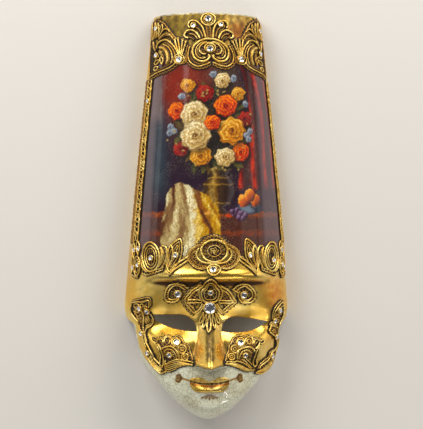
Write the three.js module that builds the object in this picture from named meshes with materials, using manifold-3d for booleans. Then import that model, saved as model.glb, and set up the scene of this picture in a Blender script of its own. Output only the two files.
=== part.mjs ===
// A tall-hatted carnival mask: one papier-mache shell with eye openings, a printed paper panel glued to the hat,
// gilded lace glued round it and over the face, and flat-backed crystals glued to the lace.
// Millimetres. X runs to the right of someone looking at the mask, Y to the top of the hat, Z out of the face.
// The mask lies on the back edges of its hat, which are flat and in the plane Z = 0.
import * as THREE from "three";
import { mergeVertices } from "three/addons/utils/BufferGeometryUtils.js";
import Module from "manifold-3d";

const wasm = await Module();
wasm.setup();

// Driving dimensions. A row of the shell is named by the height at which it crosses the centre line.
const WALL = 3; // papier-mache thickness
const HAT = { topY: 201.5, baseY: -92, topHalfWidth: 53.4, baseHalfWidth: 83.2, bulge: 1.7 };
HAT.topDepth = 48;
HAT.browDepth = 76;
HAT.browY = -50; // the hat stops rising here, above the brim
const FACE = { chinY: -203.5, jawEdgeY: -145, jawNarrowing: 10.9, chinDepth: 66, rimDepth: 27, rimAngle: 66 };
const NOTCH = { y: -100, height: 9 }; // where the hat's side ends and the narrower face begins
const CHIN_ROUNDING = { fromY: -184, rimZ: 28 };
const JAW_CURVE = 1.65; // how U-shaped the lowest row is
const PICTURE = { leftAngle: -60, rightAngle: 69.5, topY: 157, bottomY: -39 };
const BRAID = { topY: 137, bottomY: -27, left: [-77, -61.5], right: [71, 82] }; // angles round the hat
const CROWN_OFFSET = 3.5; // the crown lace is glued on a little to the right
const GLUE_GAP = 0.35;
const SEAT_CLEARANCE = 0.02;
const FACET_TOLERANCE = 0.15; // facets that add less than this are merged
const LAYER = { paperTop: 0.75, rebateTop: 1.05, laceTop: 1.7, cordTop: 2.6, seatTop: 2.95 };
const EYE = { innerX: 12, outerX: 60, topY: -98.5, innerBottomY: -113.5, outerY: -101, handCutTilt: 3.6 };
const CRYSTAL = { small: 2.2, medium: 3.1, large: 5.6, tableShare: 0.55, heightShare: 0.62 };

// Colours of the finishes.
const COLOUR = { gold: 0xc99a3a, ivory: 0xd8d3bd, plum: 0x4a2a33, lace: 0xb98a2c, crystal: 0xc4c8d0 };

const smooth = (t) => THREE.MathUtils.smoothstep(t, 0, 1);
const mix = THREE.MathUtils.lerp;
const radians = THREE.MathUtils.degToRad;
const share = (value, from, to) => THREE.MathUtils.clamp((value - from) / (to - from), 0, 1);
const bump = (x, y, cx, cy, rx, ry) => Math.exp(-(((x - cx) / rx) ** 2) - ((y - cy) / ry) ** 2);

// The bare dome, row by row: half width and depth at Z = 0, height of the row's ends, and the angle that it spans.
function halfWidthAt(row) {
  if (row > HAT.baseY) {
    const down = share(row, HAT.topY, HAT.baseY);
    return mix(HAT.topHalfWidth, HAT.baseHalfWidth, down) + HAT.bulge * 4 * down * (1 - down);
  }
  return HAT.baseHalfWidth - FACE.jawNarrowing * share(row, HAT.baseY, FACE.chinY) ** 1.3;
}

function depthAt(row) {
  if (row > HAT.browY) return mix(HAT.topDepth, HAT.browDepth, share(row, HAT.topY, HAT.browY));
  const front = mix(HAT.browDepth, FACE.chinDepth, smooth((HAT.browY - row) / 80));
  const rounding = share(row, CHIN_ROUNDING.fromY, FACE.chinY);
  return CHIN_ROUNDING.rimZ + (front - CHIN_ROUNDING.rimZ) * Math.sqrt(1 - rounding * rounding);
}

function edgeYAt(row) {
  return row > HAT.baseY ? row : mix(HAT.baseY, FACE.jawEdgeY, share(row, HAT.baseY, FACE.chinY));
}

const notchAt = (row) => smooth((NOTCH.y - edgeYAt(row)) / NOTCH.height);
const reachAt = (row) => radians(90 - (90 - FACE.rimAngle) * notchAt(row));

// The modelling of the face, as a rise above the dome: brim, eye sockets, cheeks, nose, mouth and chin.
function brimRelief(side, y) {
  const ridge = 2.5 * Math.exp(-(((y + 58) / 5) ** 2)) * (1 - smooth((side - 42) / 22));
  const recess = 7 * smooth((-61 - y) / 6) * (1 - smooth((side - 40) / 26)) * (1 - smooth((-104 - y) / 22));
  return ridge - recess;
}

// The side of the nose: 1 on the ridge, 0 at its foot, with the ridge's edge rounded off.
function noseFlank(side, ridge, foot) {
  const samples = [-1.8, -0.6, 0.6, 1.8].map((step) => (1 - share(Math.abs(side + step), ridge, foot)) ** 1.4);
  return samples.reduce((sum, value) => sum + value) / samples.length;
}

function noseRelief(side, y) {
  const along = share(y, -88, -146);
  const underside = 1 - smooth((3 * smooth(side / 13) - 146.8 - y) / 4.6);
  const flank = noseFlank(side, 3.2 + along, 10.5 + 1.5 * along + 6.5 * along ** 3);
  const wing = 3.2 * bump(side, y, 12.2, -142.6, 4.4, 4.6);
  return (23 * along ** 1.2 * flank + wing) * underside;
}

// A lip's swell: it rises slowly from the parting and turns in quickly at its outer edge.
function fullness(t, turn) {
  const peak = 1 / (1 + turn);
  return (t * (1 - t) ** turn) / (peak * (1 - peak) ** turn);
}

function lipRelief(side, y) {
  const q = Math.min(1, side / 20.2);
  const parting = -163.9 + 2.9 * q * q;
  const upper = -161.9 + 4.2 * smooth(side / 9) * (1 - 0.8 * smooth((side - 14) / 9));
  const lower = -172 + 10.5 * q ** 6;
  const upperLip = 2.2 * fullness(share(y, parting, Math.max(upper, parting + 0.3)), 0.4) * (1 - q ** 3);
  const lowerLip = 4.2 * fullness(share(y, parting, Math.min(lower, parting - 0.3)), 0.2) * (1 - q * q);
  return upperLip + lowerLip;
}

// The inside is plainer than the outside: the lips aren't hollow.
function faceRelief(x, y, inside = false) {
  const side = Math.abs(x);
  const socket = -7 * bump(side, y, 37, -105, 24, 11);
  const cheek = 5 * bump(side, y, 40, -130, 17, 14) + 6 * bump(side, y, 18, -152, 16, 18);
  const muzzle = 4.6 * bump(side, y, 0, -171, 24, 14);
  const chin = 1.6 * bump(side, y, 0, -190, 17, 9) - 0.8 * bump(side, y, 0, -178, 16, 4.5);
  const lips = inside ? 0 : lipRelief(side, y);
  return brimRelief(side, y) + socket + cheek + noseRelief(side, y) + muzzle + chin + lips;
}

// A point of the outer surface. across runs from -1 to 1 over the row.
function surfacePoint(across, row, inside = false) {
  const reach = reachAt(row);
  const angle = across * reach;
  const x = halfWidthAt(row) * Math.sin(angle);
  const y = row + (edgeYAt(row) - row) * Math.abs(Math.sin(angle) / Math.sin(reach)) ** JAW_CURVE;
  const depth = depthAt(row);
  const rim = Math.min(FACE.rimDepth * notchAt(row), depth);
  const dome = rim + ((depth - rim) * (Math.cos(angle) - Math.cos(reach))) / (1 - Math.cos(reach));
  const fade = 1 - smooth((Math.abs(across) - 0.72) / 0.25);
  return new THREE.Vector3(x, y, dome + faceRelief(x, y, inside) * fade);
}

function surfaceNormal(across, row, inside = false) {
  const stepAcross = 0.01;
  const stepRow = 0.8;
  const right = Math.min(1, across + stepAcross);
  const left = Math.max(-1, across - stepAcross);
  const up = Math.min(HAT.topY, row + stepRow);
  const down = Math.max(FACE.chinY, row - stepRow);
  const alongRow = surfacePoint(right, row, inside).sub(surfacePoint(left, row, inside));
  const alongColumn = surfacePoint(across, up, inside).sub(surfacePoint(across, down, inside));
  const normal = alongRow.cross(alongColumn);
  const lying = Math.abs(across) === 1 && notchAt(row) === 0;
  if (lying || row === HAT.topY) normal[lying ? "z" : "y"] = 0; // keeps the back edge and the top edge flat
  if (lying && row === HAT.topY) normal.y = 0;
  return normal.normalize();
}

// The row and share across at which the outer surface stands over a point of the front view.
function placeOver(x, y) {
  let low = FACE.chinY;
  let high = HAT.topY;
  let row = y;
  let across = 0;
  for (let halving = 0; halving < 40; halving++) {
    row = (low + high) / 2;
    const reach = reachAt(row);
    const sine = THREE.MathUtils.clamp(x / halfWidthAt(row), -Math.sin(reach), Math.sin(reach));
    across = Math.asin(sine) / reach;
    if (surfacePoint(across, row).y < y) low = row;
    else high = row;
  }
  return { across, row };
}

// Front-view point of a spot on the hat, given by the length round it from the centre line.
function roundHat(length, y) {
  const radius = (halfWidthAt(y) + depthAt(y)) / 2;
  return new THREE.Vector2(halfWidthAt(y) * Math.sin(length / radius), y);
}

// Solids.
function toSolid(geometry) {
  const bare = geometry.index ? geometry.toNonIndexed() : geometry.clone();
  for (const name of Object.keys(bare.attributes)) if (name !== "position") bare.deleteAttribute(name);
  const merged = mergeVertices(bare, 1e-4);
  return new wasm.Manifold(
    new wasm.Mesh({
      numProp: 3,
      vertProperties: merged.attributes.position.array,
      triVerts: new Uint32Array(merged.index.array),
    }),
  );
}

function toGeometry(solid) {
  const { vertProperties, triVerts, numProp, numVert } = solid.getMesh();
  const positions = new Float32Array(numVert * 3);
  for (let i = 0; i < numVert; i++) positions.set(vertProperties.subarray(i * numProp, i * numProp + 3), i * 3);
  const geometry = new THREE.BufferGeometry();
  geometry.setAttribute("position", new THREE.BufferAttribute(positions, 3));
  geometry.setIndex(new THREE.BufferAttribute(new Uint32Array(triVerts), 1));
  geometry.computeVertexNormals();
  return geometry;
}

// Columns crowd towards the nose. The hat is nearly straight from top to brim, so it takes few bands of facets.
const COLUMNS_A_SIDE = 11;
const columns = [];
for (let i = -COLUMNS_A_SIDE; i <= COLUMNS_A_SIDE; i++) {
  const t = i / COLUMNS_A_SIDE;
  columns.push(0.55 * t + 0.45 * t ** 3);
}

const rowBands = [
  [HAT.topY, -44, 3],
  [-44, -70, 5],
  [-70, -138, 11],
  [-138, -156, 4],
  [-156, -174, 7],
  [-174, -196, 3],
  [-196, FACE.chinY, 3],
];
const rows = [HAT.topY];
for (const [from, to, steps] of rowBands) {
  for (let i = 1; i <= steps; i++) rows.push(mix(from, to, i / steps));
}

// The closed solid between two offsets from the outer surface.
function skin(lower, upper) {
  const width = columns.length;
  const layer = width * rows.length;
  const positions = [];
  for (const offset of [upper, lower]) {
    for (const row of rows) {
      for (const across of columns) {
        const inside = offset < 0;
        const point = surfacePoint(across, row, inside);
        positions.push(...point.addScaledVector(surfaceNormal(across, row, inside), offset).toArray());
      }
    }
  }
  const faces = [];
  const quad = (a, b, c, d) => faces.push(a, b, c, a, c, d);
  for (let r = 0; r + 1 < rows.length; r++) {
    for (let c = 0; c + 1 < width; c++) {
      const a = r * width + c;
      quad(a, a + width, a + width + 1, a + 1);
      quad(layer + a, layer + a + 1, layer + a + width + 1, layer + a + width);
    }
  }
  const border = [];
  for (let c = 0; c + 1 < width; c++) border.push(c);
  for (let r = 0; r + 1 < rows.length; r++) border.push(r * width + width - 1);
  for (let c = width - 1; c > 0; c--) border.push(layer - width + c);
  for (let r = rows.length - 1; r > 0; r--) border.push(r * width);
  border.forEach((a, i) => {
    const b = border[(i + 1) % border.length];
    quad(a, b, layer + b, layer + a);
  });
  const geometry = new THREE.BufferGeometry();
  geometry.setAttribute("position", new THREE.Float32BufferAttribute(positions, 3));
  geometry.setIndex(faces);
  return toSolid(geometry);
}

// An upright prism over a front-view outline, with any holes.
function prism(outline, holes = []) {
  const shape = new THREE.Shape(outline);
  shape.holes = holes.map((hole) => new THREE.Path(hole));
  const geometry = new THREE.ExtrudeGeometry(shape, { depth: 130, bevelEnabled: false });
  geometry.translate(0, 0, -10);
  return toSolid(geometry);
}

const joined = (solids) => solids.reduce((whole, solid) => whole.add(solid));

// Outlines. Each returns front-view points; side is 1 for the right and -1 for the left.
function oval(cx, cy, rx, ry, points = 10, turn = 0) {
  const outline = [];
  for (let i = 0; i < points; i++) {
    const a = (2 * Math.PI * i) / points;
    outline.push(new THREE.Vector2(rx * Math.cos(a), ry * Math.sin(a)).rotateAround(new THREE.Vector2(), radians(turn)));
  }
  return outline.map((p) => p.add(new THREE.Vector2(cx, cy)));
}

// A leaf or loop that starts at a point and runs at an angle from upright, widest towards its tip.
function petal(x, y, lean, length, width) {
  const outline = [];
  const steps = 3;
  for (let i = 0; i <= 2 * steps; i++) {
    const t = i <= steps ? i / steps : 2 - i / steps;
    const half = (width / 2) * (0.18 + 0.82 * Math.sin(Math.PI * t ** 1.4));
    const side = i <= steps ? 1 : -1;
    if (t < 1 || side > 0) outline.push(new THREE.Vector2(t === 1 ? 0 : side * half, length * t));
  }
  const turned = outline.map((p) => p.rotateAround(new THREE.Vector2(), radians(-lean)));
  return turned.map((p) => p.add(new THREE.Vector2(x, y)));
}

// A thick arc, as in a scroll or an arch.
function arcBand(cx, cy, radius, thickness, from, to, steps = 5) {
  const outline = [];
  for (const [r, start, end] of [
    [radius + thickness / 2, from, to],
    [radius - thickness / 2, to, from],
  ]) {
    for (let i = 0; i <= steps; i++) {
      const a = radians(mix(start, end, i / steps));
      outline.push(new THREE.Vector2(cx + r * Math.cos(a), cy + r * Math.sin(a)));
    }
  }
  return outline;
}

const moved = (outline, dx) => outline.map((p) => new THREE.Vector2(p.x + dx, p.y));
const flipped = (outline) => outline.map((p) => new THREE.Vector2(-p.x, p.y)).reverse();
const onHat = (outline) => outline.map((p) => roundHat(p.x, p.y));
const bothSides = (outlines) => [...outlines, ...outlines.map(flipped)];

// A band across the centre line, from the right-hand halves of its upper and lower edges.
function bandOutline(upper, lower) {
  const points = (list) => list.map(([x, y]) => new THREE.Vector2(x, y));
  const right = [...points(lower), ...points(upper).reverse()];
  const left = right.map((p) => new THREE.Vector2(-p.x, p.y)).reverse();
  return [...right, ...left].filter((p, i, all) => i === 0 || p.distanceTo(all[i - 1]) > 0.01);
}

// The hat's picture, from one side angle to the other.
function pictureOutline(grow = 0) {
  const corner = (angle, y, dx) => new THREE.Vector2(halfWidthAt(y) * Math.sin(radians(angle)) + dx, y);
  return [
    corner(PICTURE.leftAngle, PICTURE.bottomY - grow, -grow),
    corner(PICTURE.rightAngle, PICTURE.bottomY - grow, grow),
    corner(PICTURE.rightAngle, PICTURE.topY + grow, grow),
    corner(PICTURE.leftAngle, PICTURE.topY + grow, -grow),
  ];
}

const paperLayer = skin(GLUE_GAP, LAYER.paperTop);
const laceLayer = skin(GLUE_GAP, LAYER.laceTop);
const cordLayer = skin(GLUE_GAP, LAYER.cordTop);
const rebate = skin(0, LAYER.rebateTop).intersect(prism(pictureOutline(0.4)));

// A lace is a thin ground with thicker cords and leaves standing on it.
function lace(ground, raised, rings = []) {
  const pieces = [laceLayer.intersect(joined(ground.map((outline) => prism(outline))))];
  const thick = raised.map((outline) => prism(outline));
  for (const [outer, inner] of rings) thick.push(prism(outer, [inner]));
  pieces.push(cordLayer.intersect(joined(thick)));
  return joined(pieces).subtract(rebate);
}

function ring(cx, cy, rx, ry, thickness, place = (outline) => outline) {
  return [place(oval(cx, cy, rx, ry, 10)), place(oval(cx, cy, rx - thickness, ry - thickness, 8))];
}

// The lace at the top of the hat: a palmette over two scrolls, with a fan and leaves on each side.
function topLace() {
  const ground = bandOutline(
    [
      [0, 178],
      [12, 173],
      [28, 174],
      [43, 176],
      [50, 183],
      [60, 191],
      [74, 191],
    ],
    [
      [0, 157],
      [9, 151],
      [21, 152],
      [34, 150.5],
      [46, 149],
      [57, 143],
      [68, 139.5],
      [75, 139],
    ],
  );
  const right = [
    petal(4, 172, 29, 25, 9),
    petal(8, 168, 58, 22, 9),
    arcBand(10.5, 162, 9, 4.6, 115, -80, 4),
    petal(33, 151, -2, 29, 13),
    petal(54, 160, 24, 32, 9),
  ];
  const stem = oval(0, 184, 4, 10, 8);
  const crest = oval(0, 196, 5.2, 5.2, 8);
  return lace([ground, stem].map(onHat), [crest, ...bothSides(right)].map(onHat));
}

// The lace round the foot of the hat, like a crown: a rosette, two leaves and two ovals on each side.
function crownLace() {
  const ground = bandOutline(
    [
      [0, -20],
      [13, -24],
      [26, -36],
      [33, -30],
      [48, -40],
      [64, -29],
      [78, -38],
      [96, -38],
    ],
    [
      [0, -56],
      [14, -51],
      [26, -47],
      [38, -53],
      [52, -50],
      [64, -55],
      [78, -56],
      [96, -56],
    ],
  );
  const place = (outline) => onHat(moved(outline, CROWN_OFFSET));
  const right = [petal(39, -58, -16, 36, 11), oval(65, -42, 12, 13, 10)];
  const seat = oval(0, -52.5, 6, 5.6, 8);
  const rosette = ring(0, -34, 14, 12.5, 3, place);
  return lace([place(ground)], [seat, ...bothSides(right)].map(place), [rosette]);
}

// A narrow braid that hides one edge of the picture, with a row of small scallops along it.
function braid([innerAngle, outerAngle]) {
  const scallops = 8;
  const edge = (angle, phase) => {
    const points = [];
    for (let i = 0; i <= 2 * scallops; i++) {
      const y = mix(BRAID.bottomY, BRAID.topY, i / (2 * scallops));
      const swing = i % 2 === phase ? 0.9 : -0.9;
      points.push(new THREE.Vector2(halfWidthAt(y) * Math.sin(radians(angle + swing)), y));
    }
    return points;
  };
  const outline = [...edge(innerAngle, 0).reverse(), ...edge(outerAngle, 1)];
  return cordLayer.intersect(prism(outline)).subtract(rebate);
}

// The lace on the brow: a quatrefoil between two netted wings and two ovals, with five drops down the nose.
function browLace() {
  const ground = [
    bandOutline(
      [
        [0, -64],
        [9, -67],
        [19, -75],
        [26, -83],
      ],
      [
        [0, -99],
        [7, -98],
        [14, -94],
        [22, -88],
      ],
    ),
    oval(-31.5, -76.5, 12, 9, 10, 8),
    oval(33.5, -77.5, 12, 9, 10, -8),
  ];
  const drops = [-36, -18, 0, 18, 36].map((lean) => petal(0.5, -94, 180 + lean, 20 - Math.abs(lean) / 9, 4.2));
  const seat = oval(0.5, -90.7, 7, 7, 8);
  return lace([...ground, ...drops], [seat], [ring(0.5, -75.3, 9.5, 9.5, 2.6)]);
}

// The fan of lace on the right cheek, with its strap and its long leaf; the left one mirrors it.
function cheekOutlines() {
  const corner = { x: 44, y: -148 };
  const reach = 27;
  const ground = [new THREE.Vector2(corner.x + 4, corner.y - 5)];
  for (let i = 0; i <= 8; i++) {
    const a = radians(mix(82, 186, i / 8));
    ground.push(new THREE.Vector2(corner.x + reach * Math.cos(a), corner.y + reach * Math.sin(a)));
  }
  const loops = [88, 110, 132, 154, 175].map((degrees) => {
    const a = radians(degrees);
    return oval(corner.x + reach * Math.cos(a), corner.y + reach * Math.sin(a), 4.8, 4.8, 8);
  });
  return [ground, ...loops, petal(46, -151, 8, 29, 6), petal(46, -152.5, -76, 31, 8)];
}

// The edging that runs from the temple down the side of the right cheek; the left one mirrors it.
function templeOutlines() {
  const inner = [
    [58, -86],
    [57.5, -97],
    [61.5, -104],
    [62.5, -114],
    [59, -127],
    [53, -138],
    [50.5, -147],
  ];
  const outer = [
    [74, -87],
    [74, -94],
    [69.5, -101],
    [70, -113],
    [69, -126],
    [65.5, -137],
    [58, -147],
    [52, -152],
  ];
  const ground = [...outer.reverse(), ...inner].map(([x, y]) => new THREE.Vector2(x, y));
  return [ground];
}

// A small lace of one thickness, on the right side or mirrored to the left.
function sideLace(outlines, side) {
  const turned = side > 0 ? outlines : outlines.map(flipped);
  return cordLayer.intersect(joined(turned.map((outline) => prism(outline))));
}

// One eye opening, with a sharp outer corner and a square inner one.
function eyeOutline(side) {
  const { innerX, outerX, topY, innerBottomY, outerY, handCutTilt } = EYE;
  const shape = new THREE.Shape();
  shape.moveTo(outerX, outerY);
  shape.quadraticCurveTo(44, topY - 1.4, 30, topY + 0.4);
  shape.quadraticCurveTo(18, topY + 1.2, innerX + 1, -107);
  shape.lineTo(innerX, innerBottomY);
  shape.quadraticCurveTo(44, innerBottomY - 2.5, outerX, outerY);
  const tilt = (-side * handCutTilt) / (outerX - innerX);
  const points = shape.getPoints(6).slice(0, -1);
  const cut = points.map((p) => new THREE.Vector2(p.x, p.y + tilt * (p.x - innerX)));
  return side > 0 ? cut : flipped(cut);
}

const finish = (color, roughness, metalness) => new THREE.MeshStandardMaterial({ color, roughness, metalness });
const goldLeaf = finish(COLOUR.gold, 0.35, 0.9);
const printedPaper = finish(COLOUR.plum, 0.25, 0);
const gildedLace = finish(COLOUR.lace, 0.45, 0.8);
const foiledCrystal = finish(COLOUR.crystal, 0.08, 0.6);

const mask = new THREE.Group();
mask.position.y = -(HAT.topY + FACE.chinY) / 2; // puts the origin under the middle of the outline

function addSolid(name, solid, material) {
  const mesh = new THREE.Mesh(toGeometry(solid.simplify(FACET_TOLERANCE)), material);
  mesh.name = name;
  mask.add(mesh);
}

const eyes = joined([-1, 1].map((side) => prism(eyeOutline(side))));
addSolid("mask_shell", skin(-WALL, 0).subtract(eyes), goldLeaf);
addSolid("picture_panel", paperLayer.intersect(prism(pictureOutline())), printedPaper);
addSolid("top_lace", topLace(), gildedLace);
addSolid("crown_lace", crownLace(), gildedLace);
addSolid("side_braid_left", braid(BRAID.left), gildedLace);
addSolid("side_braid_right", braid(BRAID.right), gildedLace);
addSolid("brow_lace", browLace(), gildedLace);
for (const [side, word] of [
  [-1, "left"],
  [1, "right"],
]) {
  addSolid("cheek_lace_" + word, sideLace(cheekOutlines(), side), gildedLace);
  addSolid("temple_lace_" + word, sideLace(templeOutlines(), side), gildedLace);
}

// A flat-backed crystal lying on the lace: a girdle that narrows to its table.
function addCrystal(name, x, y, radius) {
  const { tableShare, heightShare, small } = CRYSTAL;
  const height = radius * heightShare;
  const geometry = new THREE.CylinderGeometry(radius * tableShare, radius, height, radius === small ? 6 : 8);
  geometry.translate(0, height / 2, 0);
  geometry.rotateX(Math.PI / 2);
  const { across, row } = placeOver(x, y);
  const normal = surfaceNormal(across, row);
  const lift = LAYER.seatTop + SEAT_CLEARANCE * radius * radius; // a wider flat back stands further off the curve
  const crystal = new THREE.Mesh(geometry, foiledCrystal);
  crystal.name = name;
  crystal.position.copy(surfacePoint(across, row)).addScaledVector(normal, lift);
  crystal.quaternion.setFromUnitVectors(new THREE.Vector3(0, 0, 1), normal);
  mask.add(crystal);
}

const { small, medium, large } = CRYSTAL;

// Crystals on the hat, by the length round it from the centre line: name, length, height, radius.
const hatCrystals = [
  ["top_crest", -0.6, 195.3, medium],
  ["top_left_petal", -14, 188.4, small],
  ["top_right_petal", 11.2, 189.7, small],
  ["top_centre", 1, 165, medium],
  ["top_left_fan", -28, 154.7, medium],
  ["top_right_fan", 31.1, 155.2, medium],
  ["top_left_upper", -58.1, 188.2, small],
  ["top_right_upper", 61.4, 186.4, small],
  ["top_left_lower", -56.2, 160.7, small],
  ["top_right_lower", 59.6, 163, small],
  ["braid_left", -68.4, 115.1, small],
  ["braid_right", 78.2, 116.3, small],
  ["crown_centre", 2.6, -52.9, medium],
  ["crown_left_leaf", -32.5, -38.3, small],
  ["crown_right_leaf", 39.6, -38.5, small],
  ["crown_left_oval", -59.9, -41.6, small],
  ["crown_right_oval", 70.6, -43.8, small],
  ["crown_left_side_upper", -78.2, -32.8, small],
  ["crown_left_back_upper", -86.5, -34.1, small],
  ["crown_left_side_lower", -79.4, -49, small],
  ["crown_left_back_lower", -88.5, -51.5, small],
  ["crown_right_side_upper", 88.4, -33.9, small],
  ["crown_right_side_lower", 89.2, -49, small],
  ["crown_right_back_lower", 95.2, -52.2, small],
];
for (const [name, length, y, radius] of hatCrystals) {
  const spot = roundHat(length, y);
  addCrystal("crystal_" + name, spot.x, spot.y, radius);
}

// Crystals on the face, by their place in the front view: name, x, y, radius.
const faceCrystals = [
  ["brow_left", -29.9, -76.2, medium],
  ["brow_right", 33, -77.3, medium],
  ["brow_quatrefoil", 0.9, -74.6, small],
  ["brow_centre", 0.4, -90.1, large],
  ["temple_left_upper", -66.6, -91.5, small],
  ["temple_left_inner", -60, -94, small],
  ["temple_left_middle", -64.9, -116.8, small],
  ["temple_left_lower", -58.8, -135.4, small],
  ["temple_right_top", 70.4, -94.1, small],
  ["temple_right_upper", 65.4, -104.2, small],
  ["temple_right_middle", 67, -120.8, small],
  ["temple_right_lower", 62.4, -139.6, small],
  ["cheek_left_upper", -31.7, -124.5, medium],
  ["cheek_left_lower", -38.4, -135.5, small],
  ["cheek_right_upper", 30, -125, medium],
  ["cheek_right_lower", 34.5, -136.3, small],
];
for (const [name, x, y, radius] of faceCrystals) addCrystal("crystal_" + name, x, y, radius);

export default mask;
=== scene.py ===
import math

import bmesh
import bpy
import numpy as np
from mathutils import Matrix, Vector
from mathutils.kdtree import KDTree


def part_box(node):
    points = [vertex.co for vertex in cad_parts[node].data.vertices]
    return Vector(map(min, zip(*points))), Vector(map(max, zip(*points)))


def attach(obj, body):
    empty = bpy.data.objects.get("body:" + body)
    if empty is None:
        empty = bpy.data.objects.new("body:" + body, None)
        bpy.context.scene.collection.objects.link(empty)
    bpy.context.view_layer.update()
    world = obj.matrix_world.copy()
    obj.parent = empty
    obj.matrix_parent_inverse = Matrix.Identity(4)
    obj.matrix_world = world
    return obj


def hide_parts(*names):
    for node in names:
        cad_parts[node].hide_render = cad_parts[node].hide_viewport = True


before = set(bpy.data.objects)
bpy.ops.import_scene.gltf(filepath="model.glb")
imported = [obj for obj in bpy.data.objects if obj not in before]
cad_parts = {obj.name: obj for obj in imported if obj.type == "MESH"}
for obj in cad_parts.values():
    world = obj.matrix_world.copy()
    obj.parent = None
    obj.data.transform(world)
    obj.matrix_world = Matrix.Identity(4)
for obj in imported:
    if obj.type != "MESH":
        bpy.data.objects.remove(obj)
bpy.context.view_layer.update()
mm = 0.001

# The shell's form, in millimetres, in the maker's own axes: X to the viewer's right, Y up the hat and
# Z out of the face. A row is named by the height at which it crosses the centre line, and a place on
# it by its share across, -1 to 1.
form = {
    "wall": 3.0,
    "hatTop": 201.5, "hatFoot": -92.0, "topHalfWidth": 53.4, "footHalfWidth": 83.2, "hatBulge": 1.7,
    "topDepth": 48.0, "browDepth": 76.0, "browY": -50.0,
    "chin": -203.5, "chinDepth": 66.0, "chinRoundingFrom": -184.0, "chinRimZ": 28.0,
    "jawEdge": -145.0, "jawNarrowing": 10.9, "jawCurve": 1.65,
    "rimDepth": 27.0, "rimAngle": 66.0, "notchY": -100.0, "notchHeight": 9.0,
}
features = {
    "brimY": -58.0, "brimRise": 2.5, "underBrimDepth": 7.0, "socketDepth": 7.0, "cheekRise": 5.0,
    "noseTop": -88.0, "noseFoot": -146.0, "noseRise": 23.0, "nostrilRise": 3.2,
    "mouthHalfWidth": 20.2, "mouthY": -163.9, "upperLip": 2.2, "lowerLip": 4.2,
}
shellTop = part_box("mask_shell")[1].y / mm
yShift = shellTop - form["hatTop"]  # from the maker's axes to the frame


def smooth(t):
    t = np.clip(t, 0, 1)
    return t * t * (3 - 2 * t)


def mix(a, b, t):
    return a + (b - a) * t


def share(value, start, end):
    return np.clip((value - start) / (end - start), 0, 1)


def bump(x, y, cx, cy, rx, ry):
    return np.exp(-((x - cx) / rx) ** 2 - ((y - cy) / ry) ** 2)


def halfWidthAt(row):
    down = share(row, form["hatTop"], form["hatFoot"])
    hat = mix(form["topHalfWidth"], form["footHalfWidth"], down) + form["hatBulge"] * 4 * down * (1 - down)
    face = form["footHalfWidth"] - form["jawNarrowing"] * share(row, form["hatFoot"], form["chin"]) ** 1.3
    return np.where(row > form["hatFoot"], hat, face)


def depthAt(row):
    hat = mix(form["topDepth"], form["browDepth"], share(row, form["hatTop"], form["browY"]))
    front = mix(form["browDepth"], form["chinDepth"], smooth((form["browY"] - row) / 80))
    rounding = share(row, form["chinRoundingFrom"], form["chin"])
    face = form["chinRimZ"] + (front - form["chinRimZ"]) * np.sqrt(1 - rounding ** 2)
    return np.where(row > form["browY"], hat, face)


def edgeYAt(row):
    return np.where(row > form["hatFoot"], row,
                    mix(form["hatFoot"], form["jawEdge"], share(row, form["hatFoot"], form["chin"])))


def notchAt(row):
    return smooth((form["notchY"] - edgeYAt(row)) / form["notchHeight"])


def reachAt(row):
    return np.radians(90 - (90 - form["rimAngle"]) * notchAt(row))


def mouthLines(side):
    q = np.minimum(1, side / features["mouthHalfWidth"])
    upper = -161.9 + 4.2 * smooth(side / 9) * (1 - 0.8 * smooth((side - 14) / 9))
    parting = features["mouthY"] + 2.9 * q ** 2
    lower = -172.0 + 10.5 * q ** 6
    return q, np.maximum(upper, parting + 0.3), parting, np.minimum(lower, parting - 0.3)


def fullness(t, turn):
    # A lip's swell: it rises slowly from the parting and turns in quickly at its outer edge.
    t = np.clip(t, 0, 1)
    peak = 1 / (1 + turn)
    return t * (1 - t) ** turn / (peak * (1 - peak) ** turn)


def noseFlank(side, foot):
    # Full and rounded along the ridge, hollow towards the cheek.
    return (1 - np.minimum(1, np.hypot(side, 1.2) / (foot + 1.5)) ** 1.7) ** 2.1


def faceRelief(x, y, inside=False):
    # The inside is plainer than the outside: the lips are not hollow.
    side = np.abs(x)
    brimRidge = features["brimRise"] * np.exp(-((y - features["brimY"]) / 5) ** 2)
    brimRidge *= 1 - smooth((side - 42) / 22)
    underBrim = features["underBrimDepth"] * smooth((-61 - y) / 6)
    underBrim *= (1 - smooth((side - 40) / 26)) * (1 - smooth((-104 - y) / 22))
    along = share(y, features["noseTop"], features["noseFoot"])
    flank = noseFlank(side, 10.5 + 1.5 * along + 6.5 * along ** 3)
    underNose = 1 - smooth((3 * smooth(side / 13) - 146.8 - y) / 4.6)
    nose = features["noseRise"] * along ** 1.2 * flank
    nose += features["nostrilRise"] * bump(side, y, 12.2, -142.6, 4.4, 4.6)
    q, upper, parting, lower = mouthLines(side)
    lips = features["upperLip"] * fullness(share(y, parting, upper), 0.4) * (1 - q ** 3)
    lips += features["lowerLip"] * fullness(share(y, parting, lower), 0.2) * (1 - q ** 2)
    sockets = -features["socketDepth"] * bump(side, y, 37, -105, 24, 11)
    cheeks = features["cheekRise"] * bump(side, y, 40, -130, 17, 14) + 6 * bump(side, y, 18, -152, 16, 18)
    muzzle = 4.6 * bump(side, y, 0, -171, 24, 14)
    chin = 1.6 * bump(side, y, 0, -190, 17, 9) - 0.8 * bump(side, y, 0, -178, 16, 4.5)
    plain = brimRidge - underBrim + sockets + cheeks + nose * underNose + muzzle + chin
    return plain if inside else plain + lips


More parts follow.
